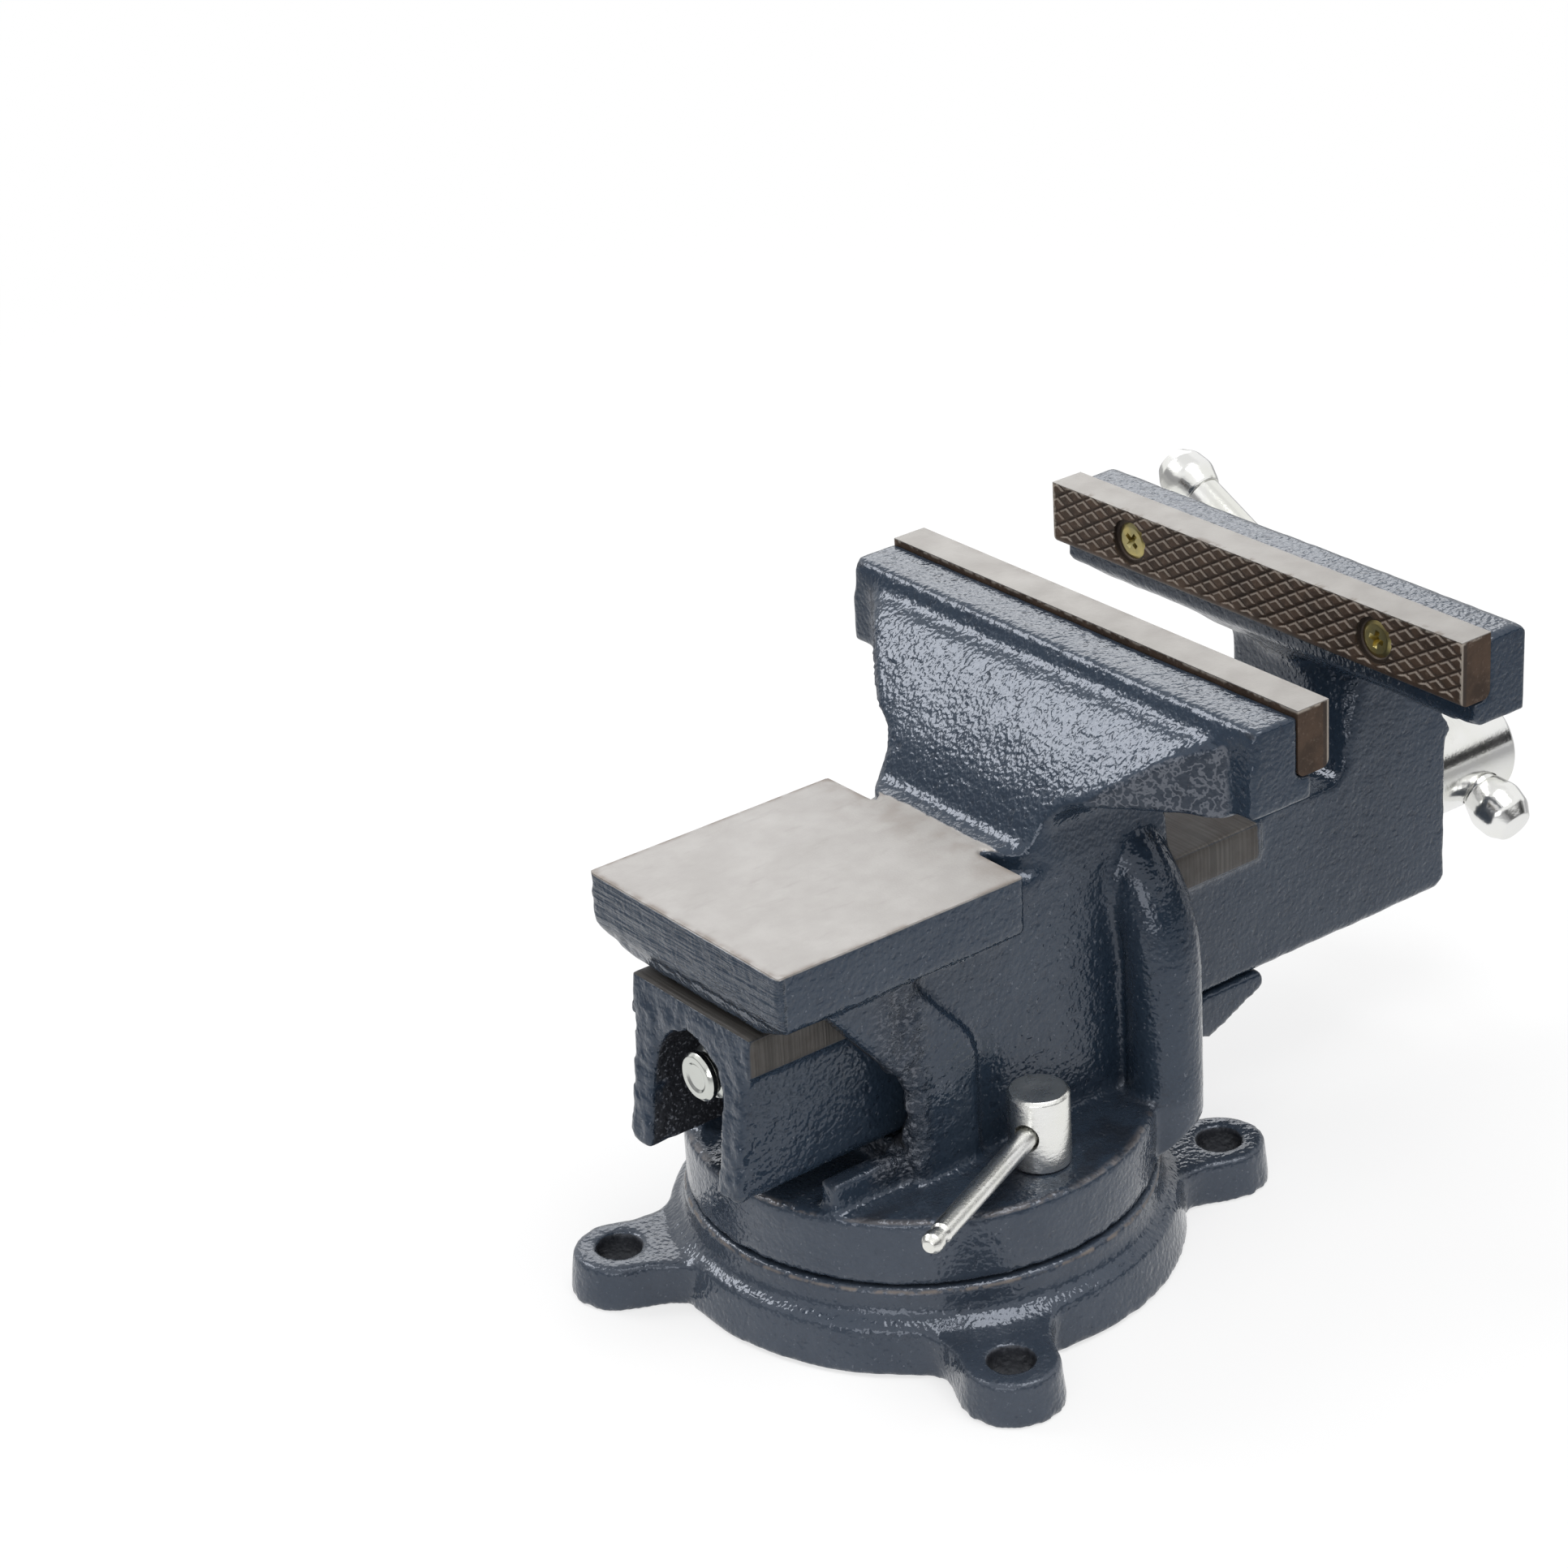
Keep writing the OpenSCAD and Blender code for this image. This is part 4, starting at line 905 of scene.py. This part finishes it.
# Where the casting is eased less: near the anvil's top, which keeps its sharp edges
def bodyFirm(co):
    top = (np.abs(co[:, 2] - anvilTop) < 1.3 * mm) & (co[:, 0] < anvilFront + 3 * mm)
    return np.where(top, 0.75, 0.0)


jawSlope = {"foot": 27, "length": 46, "swell": 0.7}


# Level anvil, and a slope behind the jaw that swells slightly between its foot and its shoulder
def bodyTrim(co, normal):
    form = jawSlope
    slope = (normal[:, 0] < -0.35) & (normal[:, 2] > 0.2)
    slope = slope & (co[:, 2] > anvilTop + 5 * mm) & (co[:, 2] < plateTop - 7 * mm)
    along = np.clip((co[:, 0] + co[:, 2] - anvilTop - form["foot"] * mm) / (form["length"] * mm), 0, 1)
    co = co + normal * (slope * np.sin(along * np.pi) * form["swell"] * mm)[:, None]
    top = (np.abs(co[:, 2] - anvilTop) < 0.75 * mm) & (co[:, 0] < anvilFront + 3 * mm)
    co[top, 2] = anvilTop
    co[:, 2] = np.minimum(co[:, 2], blockTop)
    return co


# Where the casting is eased less: near the slide's bare top and strips, which keep their sharp edges
def slideFirm(co):
    top = (np.abs(co[:, 2] - slideTop) < 1.3 * mm) & (co[:, 0] < movingFace + 1 * mm)
    strip = np.abs(np.abs(co[:, 1]) - partSizes["stripReach"] * mm) < 1.0 * mm
    strip = strip & (co[:, 2] > slideTop - 11.2 * mm) & (co[:, 2] < slideTop + 1 * mm)
    return np.where(top | strip, 0.8, 0.0)


lugForm = {
    "inner": 8, "innerFade": 4, "outer": 18, "outerFade": 3, "root": 68, "rootFade": 6, "height": 11.5,
    "draw": 1.3,
}


# The lugs' sides draw in towards their tops; the bores and the ring stay
def lugTrim(co, normal):
    form = lugForm
    co = co.copy()
    away = np.linalg.norm(co[:, :2], axis=1)
    rootFade = np.clip((away - form["root"] * mm) / (form["rootFade"] * mm), 0, 1)
    for place in lugPlaces:
        across = co[:, :2] - place
        reach = np.linalg.norm(across, axis=1)
        weight = np.clip((reach - form["inner"] * mm) / (form["innerFade"] * mm), 0, 1)
        weight = weight * np.clip((form["outer"] * mm - reach) / (form["outerFade"] * mm), 0, 1)
        weight = weight * rootFade * np.clip(co[:, 2] / (form["height"] * mm), 0, 1)
        co[:, :2] -= across / np.maximum(reach, 1e-6)[:, None] * (weight * form["draw"] * mm)[:, None]
    return co


# Sizes in mm. skin has (size, depth) of each layer, soft has (zone, turns) of more easing,
# and torn has (zone, size, depth) of coarse skin
castings = {
    "turningBody": {
        "node": "fixed_jaw", "body": "turning_body", "material": paintFixed,
        "cuts": bodyCuts, "shape": footTaper, "firm": bodyFirm, "trim": bodyTrim,
        "cell": 1.1, "bend": 4.0, "chip": 0.40, "skin": [(22, 0.16), (7, 0.09)],
        "soft": [(zone((7, -60, 114), (44, 60, 128), 4), 10),
                 (zone((blockX - 7, -76, wingZ - 4), (blockX + 2, 76, wingZ + 4), 2), 14)],
        "torn": [(zone((-32, -40, 45), (-24, 40, 95), 3), 2.4, 1.0),
                 (zone((-69, -40, 95), (-65, 40, 112), 2), 2.4, 0.3)],
    },
    "slidingJaw": {
        "node": "moving_jaw", "body": "slide", "material": paintMoving,
        "cuts": slideCuts, "shape": asItIs, "firm": slideFirm, "trim": asItIs,
        "cell": 1.0, "bend": 4.0, "chip": 0.45, "skin": [(22, 0.12), (7, 0.07)],
        "soft": [(zone((movingX + 6, -50, slideZ + 3), (movingX + 30, 50, slideZ + 36), 4), 14)],
        "torn": [(zone((-76, -30, 40), (-66, 30, 95), 3), 2.2, 0.35)],
    },
    "baseCasting": {
        "node": "base", "body": "base", "material": paintBase,
        "cuts": noCuts, "shape": asItIs, "firm": noneFirm, "trim": lugTrim,
        "cell": 1.0, "bend": 5.0, "chip": 0.35, "skin": [(20, 0.16), (6, 0.08)],
        "soft": [], "torn": [],
    },
}
for name, settings in castings.items():
    piece = casting(name, settings["node"], settings)
    wear(piece, settings["body"], [settings["node"]], settings["material"])


# Jaw plates: a diamond pattern of shallow grooves carried across the face, plain on the other sides

plateSettings = {
    "pitch": 3.5, "slope": 30, "depth": 0.62, "groove": 0.42, "columns": 700, "rows": 84, "corner": 2.2,
    "sideSteps": 8, "cornerSteps": 6, "footMargin": 0.8, "topMargin": 0.6, "endMargin": 0.5,
    "counterbore": 6.2, "sink": 1.2, "countersink": 5.25, "countersinkDepth": 2.9, "bore": 2.56,
    "boreDepth": 12, "clear": 2, "step": 0.02, "highlightStep": 0.12, "highlightDepth": 0.35, "highlightGain": 3,
    "smoothAngle": 25, "holeSteps": 64,
}


# Loop round a plate's section as (depth behind the face, height): face upward, top, back downward, foot
def plateSection(low, high, thick):
    form = plateSettings
    r = form["corner"] * mm
    face = np.linspace(low + r, high, form["rows"])
    turn = np.linspace(0, np.pi / 2, form["cornerSteps"])
    sides = form["sideSteps"] - 1
    footDepth = np.linspace(thick - r, r, form["cornerSteps"])[1:-1]
    depth = [np.zeros(form["rows"]), np.linspace(0, thick, sides + 1)[1:], np.full(sides, thick),
             thick - r + r * np.cos(turn), footDepth, r - r * np.sin(turn)]
    height = [face, np.full(sides, high), np.linspace(high, low + r, sides + 1)[1:],
              low + r - r * np.sin(turn), np.full(len(footDepth), low), low + r - r * np.cos(turn)]
    return np.concatenate(depth)[:-1], np.concatenate(height)[:-1]


# 1 at a groove's middle, falling to 0 at its shoulder and at the plate's edges; u and v are y and z in mm
def grooveShare(u, v, low, high):
    form = plateSettings
    a = math.radians(form["slope"])
    margin = np.clip((v * mm - low - form["corner"] * mm) / (form["footMargin"] * mm), 0, 1)
    margin = margin * np.clip((high - v * mm) / (form["topMargin"] * mm), 0, 1)
    margin = margin * np.clip((jawHalf - np.abs(u) * mm) / (form["endMargin"] * mm), 0, 1)
    waves = [(u * math.sin(a) + sign * v * math.cos(a)) / form["pitch"] for sign in (-1, 1)]
    shares = [np.clip(1 - (1 - np.abs(wave % 1 - 0.5) * 2) / form["groove"], 0, 1) for wave in waves]
    return np.maximum(*shares) * margin


def jawPlate(name, node, outward):
    form = plateSettings
    low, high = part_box(node)
    faceX, backX = (high.x, low.x) if outward > 0 else (low.x, high.x)
    y = np.linspace(low.y, high.y, form["columns"])
    depth, height = plateSection(low.z, high.z, abs(faceX - backX))
    rings, steps = len(y), len(depth)
    u, v = np.meshgrid(y / mm, height[:form["rows"]] / mm, indexing="ij")
    grooved = np.zeros((rings, steps))
    grooved[:, :form["rows"]] = grooveShare(u, v, low.z, high.z) * form["depth"] * mm
    x = faceX - outward * (depth[None, :] + grooved)
    verts = np.stack([x, np.repeat(y[:, None], steps, 1), np.repeat(height[None, :], rings, 0)], -1)
    piece = newPiece(name, verts.reshape(-1, 3), tubeFaces(rings, steps), form["smoothAngle"])
    cutters = [plateHole(faceX, side, (low.z + high.z) / 2, outward) for side in (-1, 1)]
    cut(piece, cutters, form["smoothAngle"])
    # A highlight is painted on the groove walls that face upward
    across, u, v = vertexRows(piece.data, "co").T / mm
    above = grooveShare(u, v + form["highlightStep"], low.z, high.z)
    below = grooveShare(u, v - form["highlightStep"], low.z, high.z)
    highlightShare = (above - below) * (np.abs(across - faceX / mm) < form["highlightDepth"])
    setVertexValue(piece.data, "edge", np.clip(highlightShare * form["highlightGain"], 0, 1))
    return piece, faceX


# Cutter for a screw's counterbore, countersink and bore
def plateHole(faceX, side, middle, outward):
    form = plateSettings
    centre = (faceX + outward * form["clear"] * mm, side * partSizes["screwReach"] * mm, middle)
    floor = form["clear"] + form["sink"]
    lengths = np.array([-floor, 0, form["step"], form["countersinkDepth"], form["boreDepth"]]) + floor
    radii = np.array([form["counterbore"]] * 2 + [form["countersink"]] + [form["bore"]] * 2)
    return turned("cutter", lengths * mm, radii * mm, centre, (-outward, 0, 0), form["holeSteps"])


jawSides = {"fixed": ("turning_body", 1), "moving": ("slide", -1)}
for jaw, (body, outward) in jawSides.items():
    node = jaw + "_jaw_plate"
    piece, faceX = jawPlate(jaw + "Plate", node, outward)
    wear(piece, body, [node], plateMaterial(jaw + "PlateSteel", faceX, outward))
print("jaw plates made")


# Plate screws: a countersunk profile turned about the screw's axis, less a cross of two bars

screwSettings = {
    # Length, radius, rounding
    "profile": [(0, 0, 0), (0.0, 3.9, 0.8), (0.45, 5.1, 0.35), (0.9, 5.1, 0.2), (3.0, 2.5, 0.4),
                (18.2, 2.5, 0.4), (18.8, 1.6, 0), (18.8, 0, 0)],
    # Recess at its mouth and at its floor: level, half width, reach of an arm
    "recess": ((0.4, 0.78, 2.7), (-1.7, 0.45, 1.215)),
    "turn": 12, "turnStep": 25, "steps": 64, "smoothAngle": 40,
}


def plateScrews(jaw, body, outward):
    form = screwSettings
    node = jaw + "_plate_screws"
    low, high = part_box(node)
    headX = high.x if outward > 0 else low.x
    lengths, radii = roundedProfile(form["profile"])
    steps, smooth = form["steps"], form["smoothAngle"]
    for k, side in enumerate((-1, 1)):
        centre = np.array([headX, side * partSizes["screwReach"] * mm, (low.z + high.z) / 2])
        name = jaw + "Screw" + str(k)
        screw = turned(name, lengths, radii, centre, (-outward, 0, 0), steps, smooth)
        turn = form["turn"] + form["turnStep"] * k
        bits = [recessBit(centre, outward, math.radians(turn + quarter)) for quarter in (0, 90)]
        cut(screw, bits, smooth)
        wear(screw, body, [node] if k == 0 else [], gold)


# Cutter for one bar of the cross, narrower at its floor
def recessBit(centre, outward, turn):
    arm = np.array([0, math.cos(turn), math.sin(turn)])
    side = np.array([0, -math.sin(turn), math.cos(turn)])
    out = np.array([outward, 0, 0])
    corners = []
    for level, width, reach in screwSettings["recess"]:
        for p, q in ((1, 1), (1, -1), (-1, -1), (-1, 1)):
            corners.append(centre + (out * level + arm * reach * p + side * width * q) * mm)
    return block(corners)


for jaw, (body, outward) in jawSides.items():
    plateScrews(jaw, body, outward)
print("screws made")


# Spindle: tip, thread, shank and head in one turned surface

spindleSettings = {
    "pitch": 4.0, "threadDepth": 1.9, "flank": 0.56, "radius": 8.0, "steps": 72, "rowStep": 0.4,
    "threadStart": 11, "shank": 36, "fadeIn": (10, 3), "fadeOut": (38, 4), "smoothAngle": 38,
    "holeSteps": 48,
    # From the tail, from the head's start and from the end: length, radius, rounding
    "tip": [(0.5, 0, 0), (0.5, 3.2, 0.3), (0, 3.9, 0.3), (0, 5.4, 0.4), (0.9, 6.3, 0.4), (2.2, 6.3, 0.4),
            (2.9, 5.2, 0.3), (4.0, 5.2, 0.3), (4.9, 7.0, 0.4), (7.4, 7.0, 0.4), (8.6, 8.0, 0.4),
            (11, 8.0, 0)],
    "head": [(-36, 8.0, 0), (0, 8.0, 0.4), (0, 13.6, 0.5), (1.0, 14.5, 0.6), (20, 14.5, 0)],
    "end": [(-1.3, 14.5, 0.9), (0, 13.4, 0.7), (0, 9, 0.3), (-0.12, 8.2, 0.2), (-0.12, 3.0, 0.1),
            (-0.3, 1.2, 0.1), (-0.6, 0, 0)],
    "holeReach": [-20, -14.6, -13.5, 13.5, 14.6, 20], "holeRadius": [7.2, 6.3, 5.62, 5.62, 6.3, 7.2],
}


def shifted(corners, length):
    return [(x + length, y, r) for x, y, r in corners]


# The thread is a trapezoid wave along the length that climbs with the turn and fades at both ends
def spindlePiece():
    form = spindleSettings
    tail, head, end = spindleTail / mm, headStart / mm, spindleEnd / mm
    tipX, tipR = roundedProfile(shifted(form["tip"], tail))
    threadX = np.arange(tail + form["threadStart"], head - form["shank"], form["rowStep"]) * mm
    headX, headR = roundedProfile(shifted(form["head"], head) + shifted(form["end"], end))
    lengths = np.concatenate([tipX, threadX, headX])
    radii = np.concatenate([tipR, np.full(len(threadX), form["radius"] * mm), headR])
    turns = np.arange(form["steps"]) / form["steps"]
    phase = ((lengths[:, None] / mm - form["pitch"] * turns[None, :]) / form["pitch"]) % 1
    groove = np.clip((0.5 - np.abs(phase - 0.5) * 2 + form["flank"] / 2) / form["flank"], 0, 1)
    (first, firstFade), (last, lastFade) = form["fadeIn"], form["fadeOut"]
    share = np.clip((lengths - (tail + first) * mm) / (firstFade * mm), 0, 1)
    share = share * np.clip(((head - last) * mm - lengths) / (lastFade * mm), 0, 1)
    radius = radii[:, None] - groove * form["threadDepth"] * mm * share[:, None]
    smooth = form["smoothAngle"]
    piece = turned("spindleRod", lengths, radius, (0, 0, axisZ), (1, 0, 0), form["steps"], smooth)
    reach, hole = np.array(form["holeReach"]) * mm, np.array(form["holeRadius"]) * mm
    cutter = turned("cutter", reach, hole, (barX, 0, axisZ), barAcross, form["holeSteps"])
    return cut(piece, [cutter], smooth)


wear(spindlePiece(), "spindle", ["spindle"], zincHead)


# Handle: a bar with a thinner end in each knob, and the knobs, all profiles turned about the bar's axis

handleSettings = {
    "length": 137, "knobLength": 14, "knobStop": 21.8, "radius": 5.5, "round": 0.2,
    "endRadius": 4.0, "endLength": 9, "step": 0.02, "steps": 64, "barSmooth": 35, "knobSmooth": 45,
    "roundSteps": 10,
    # Length, radius, rounding
    "knob": [(0, 4.1, 0), (0, 5.9, 0.35), (0.8, 6.3, 0.4), (5.5, 7.9, 5.5), (10.5, 7.2, 4.0),
             (14.0, 4.9, 0.9), (14.0, 0, 0)],
}


def handle():
    form = handleSettings
    half = form["length"] / 2 - form["knobLength"] / 2
    centre = np.array([barX, 0, axisZ]) + barAcross * (form["length"] / 2 - form["knobStop"]) * mm
    end = half + form["endLength"]
    side = [(half, form["radius"], form["round"]), (half + form["step"], form["endRadius"], 0),
            (end, form["endRadius"], 0), (end, 0, 0)]
    mirrored = [(-x, y, r) for x, y, r in reversed(side)]
    lengths, radii = roundedProfile(mirrored + [(0, form["radius"], 0)] + side)
    bar = turned("handleBar", lengths, radii, centre, barAcross, form["steps"], form["barSmooth"])
    wear(bar, "handle", ["handle_bar"], zincBar)
    lengths, radii = roundedProfile(form["knob"], form["roundSteps"])
    for name, sign in (("Upper", 1), ("Lower", -1)):
        seat, outward = centre + barAcross * sign * half * mm, barAcross * sign
        knob = turned("handleKnob" + name, lengths, radii, seat, outward, form["steps"], form["knobSmooth"])
        wear(knob, "handle", ["handle_knob_" + name.lower()], zincBar)


handle()
print("spindle and handle made")


# Lock screws and levers: profiles turned about upright and level axes, the screws with a hole across

lockSettings = {
    "turns": {"Right": 204, "Left": 24}, "leverDrop": 10, "seatGap": 0.06, "holeSteps": 48, "roundSteps": 8,
    "screw": (72, 38), "lever": (48, 40),  # steps round, and the angle up to which shading is smooth
    # From the screw's foot, from the disc and from the screw's top: length, radius, rounding
    "foot": [(0, 0, 0), (0, 4.4, 0), (0.8, 5.0, 0.2)],
    "seat": [(0, 5.0, 0.2), (0, 7.3, 0.3), (0.64, 7.75, 0.4)],
    "top": [(-0.9, 7.75, 0.5), (0, 7.1, 0.5), (0, 3, 0.01), (-0.05, 2.5, 0.01), (-0.1, 0, 0)],
    "holeReach": [-12, -7.9, -6.3, 6.3, 7.9, 12], "holeRadius": [4.6, 3.9, 2.82, 2.82, 3.9, 4.6],
    # From the screw's axis
    "leverProfile": [(-6, 0, 0), (-6, 1.6, 0), (-5.2, 2.6, 0.6), (-4, 2.75, 0), (53.4, 2.75, 0.3),
                     (54.2, 2.2, 0.3), (55.6, 2.2, 0.3), (56.4, 2.75, 0.4), (58.4, 2.75, 1.2),
                     (60, 1.5, 0.8), (60, 0, 0)],
}


def lock(name):
    form = lockSettings
    side = name.lower()
    low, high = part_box("lock_screw_" + side)
    centre = np.array([(low.x + high.x) / 2, (low.y + high.y) / 2, 0])
    turn = math.radians(form["turns"][name])
    across = np.array([math.cos(turn), math.sin(turn), 0])
    middle = centre + np.array([0, 0, high.z - form["leverDrop"] * mm])
    profile = shifted(form["foot"], low.z / mm) + shifted(form["seat"], discTop / mm + form["seatGap"])
    lengths, radii = roundedProfile(profile + shifted(form["top"], high.z / mm))
    steps, smooth = form["screw"]
    screw = turned("lockScrew" + name, lengths, radii, centre, (0, 0, 1), steps, smooth)
    reach, hole = np.array(form["holeReach"]) * mm, np.array(form["holeRadius"]) * mm
    cut(screw, [turned("cutter", reach, hole, middle, across, form["holeSteps"])], smooth)
    wear(screw, "lock_" + side, ["lock_screw_" + side], zincLock)
    lengths, radii = roundedProfile(form["leverProfile"], form["roundSteps"])
    lever = turned("lockLever" + name, lengths, radii, middle, across, *form["lever"])
    wear(lever, "lever_" + side, ["lock_lever_" + side], zincLock)


for name in lockSettings["turns"]:
    lock(name)
print("locks made")

# Inner pieces keep their solids
inner = {
    "spindle_nut": iron, "lock_nut_right": iron, "lock_nut_left": iron,
    "nut_bolt": steel, "nut_washer": steel, "thrust_washer": steel, "spindle_pin": steel,
}
for node, material in inner.items():
    setMaterial(nodes[node], material)
for node in nodes.values():
    if node.hide_render:
        setMaterial(node, steel)


# Camera, solved from the photo's straight edges

cameraSettings = {
    "place": (-0.53140, -0.68722, 0.54962), "right": (0.79216098, -0.60742213, -0.05932397),
    "down": (-0.30822254, -0.31427006, -0.89790489), "ahead": (0.52676355, 0.72957021, -0.43617367),
    "focalPixels": 4921.74, "framePixels": 1932, "sensor": 36, "clipEnd": 50,
}


def placeObject(made, axes, place):
    pose = np.eye(4)
    pose[:3, :3] = axes
    pose[:3, 3] = place
    made.matrix_world = Matrix(pose.tolist())


def makeCamera():
    view = cameraSettings
    camera = addObject("camera", bpy.data.cameras.new("camera"))
    camera.data.sensor_width = view["sensor"]
    camera.data.lens = view["focalPixels"] / view["framePixels"] * view["sensor"]
    camera.data.clip_end = view["clipEnd"]
    axes = np.stack([view["right"], np.negative(view["down"]), np.negative(view["ahead"])], 1)
    placeObject(camera, axes, view["place"])
    bpy.context.scene.camera = camera


makeCamera()


# Light

lamps = {
    "backLeft": {"place": (-0.56, 1.12, 1.32), "aim": (0.03, 0, 0.13), "size": (0.66, 0.76), "power": 11.5},
    "backRight": {"place": (0.85, 1.17, 0.80), "aim": (0.05, 0, 0.13), "size": (0.9, 0.6), "power": 3.3},
    "overhead": {"place": (0.12, -0.42, 1.4), "aim": (0, -0.02, 0.05), "size": (0.8, 0.8), "power": 11.5},
    "left": {"place": (-1.0, -0.75, 0.40), "aim": (0, 0, 0.03), "size": (0.7, 0.5), "power": 3.0},
}


def areaLight(name, place, aim, size, power):
    data = bpy.data.lights.new(name, "AREA")
    data.shape, data.energy = "RECTANGLE", power
    data.size, data.size_y = size
    placeObject(addObject(name, data), axisFrame(np.subtract(place, aim)), place)


for name, lamp in lamps.items():
    areaLight(name, **lamp)


# Floor and surroundings

stageSettings = {
    "floorHalf": 6, "floorZ": -0.0002, "floorColour": (0.86, 0.86, 0.86),
    "nearWhite": 0.7, "shadowReach": (0.25, 0.9), "dimReach": (0.15, 0.55), "dimmed": (0.44, 0.44, 0.45),
    "low": (0.42, 0.425, 0.44), "high": (0.62, 0.62, 0.62), "white": (1.0, 1.0, 1.0),
    "ceiling": (0.85, 0.85, 0.85), "wall": (0.34, 0.34, 0.35), "room": (0.03, 0.03, 0.032),
}


def ray(start, kind):
    return start.node("ShaderNodeLightPath", output="Is " + kind + " Ray")


# 1 on rays that show the background itself: seen by the camera, in a reflection or through glass
def whiteRays(start, seen=1.0):
    return (ray(start, "Camera") * seen + ray(start, "Glossy") + ray(start, "Transmission")).low(1.0)


# White to the eye with the object's shadow near it; in reflections it dims away from the object,
# as under a lamp
def floorMaterial():
    stage = stageSettings
    look = Look("floorWhite")
    away = look.away()
    white = stage["nearWhite"] + away.rise(*stage["shadowReach"]) * (1 - stage["nearWhite"])
    seen = whiteRays(look.start, white)
    dim = (away.rise(*stage["dimReach"]) * ray(look.start, "Glossy")).blend(stage["white"], stage["dimmed"])
    glow = look.start.node("ShaderNodeEmission", inputs={"Color": dim, "Strength": 1.0})
    plain = look.start.node("ShaderNodeBsdfDiffuse", inputs={"Color": rgba(stage["floorColour"])})
    mixed = look.start.node("ShaderNodeMixShader", inputs={0: seen, 1: plain, 2: glow})
    look.tree.links.new(mixed.socket, look.out.inputs[0])
    return look.material


def makeFloor():
    half, z = stageSettings["floorHalf"], stageSettings["floorZ"]
    corners = [(-half, -half, z), (half, -half, z), (half, half, z), (-half, half, z)]
    mesh = bpy.data.meshes.new("floor")
    mesh.from_pydata(corners, [], [[0, 1, 2, 3]])
    mesh.materials.append(floorMaterial())
    floor = addObject("floor", mesh)


# A dim ceiling, a grey wall on the left in reflections, and a dark room low behind the camera
def makeWorld():
    stage = stageSettings
    world = bpy.data.worlds.new("studio")
    world.use_nodes = True
    bpy.context.scene.world = world
    tree = world.node_tree
    tree.nodes.clear()
    sky = Wire(tree)
    across, ahead, up = sky.node("ShaderNodeTexCoord").parts()
    shade = up.rise(-0.2, 0.9).blend(stage["low"], stage["high"])
    shown = up.rise(0.70, 0.85).blend(stage["white"], stage["ceiling"])
    shown = ((-ahead).rise(0.15, 0.45) * up.within(0.04, 0.36, 0.05)).blend(shown, stage["room"])
    wall = (-across).rise(0.30, 0.55) * (1 - up.rise(0.36, 0.46)) * ray(sky, "Glossy")
    shown = wall.blend(shown, stage["wall"])
    colour = whiteRays(sky).blend(shade, shown)
    ground = sky.node("ShaderNodeBackground", inputs={"Color": colour, "Strength": 1.0})
    out = tree.nodes.new("ShaderNodeOutputWorld")
    tree.links.new(ground.socket, out.inputs[0])


makeFloor()
makeWorld()
bpy.context.scene.view_settings.view_transform = "Standard"
print("stage made")
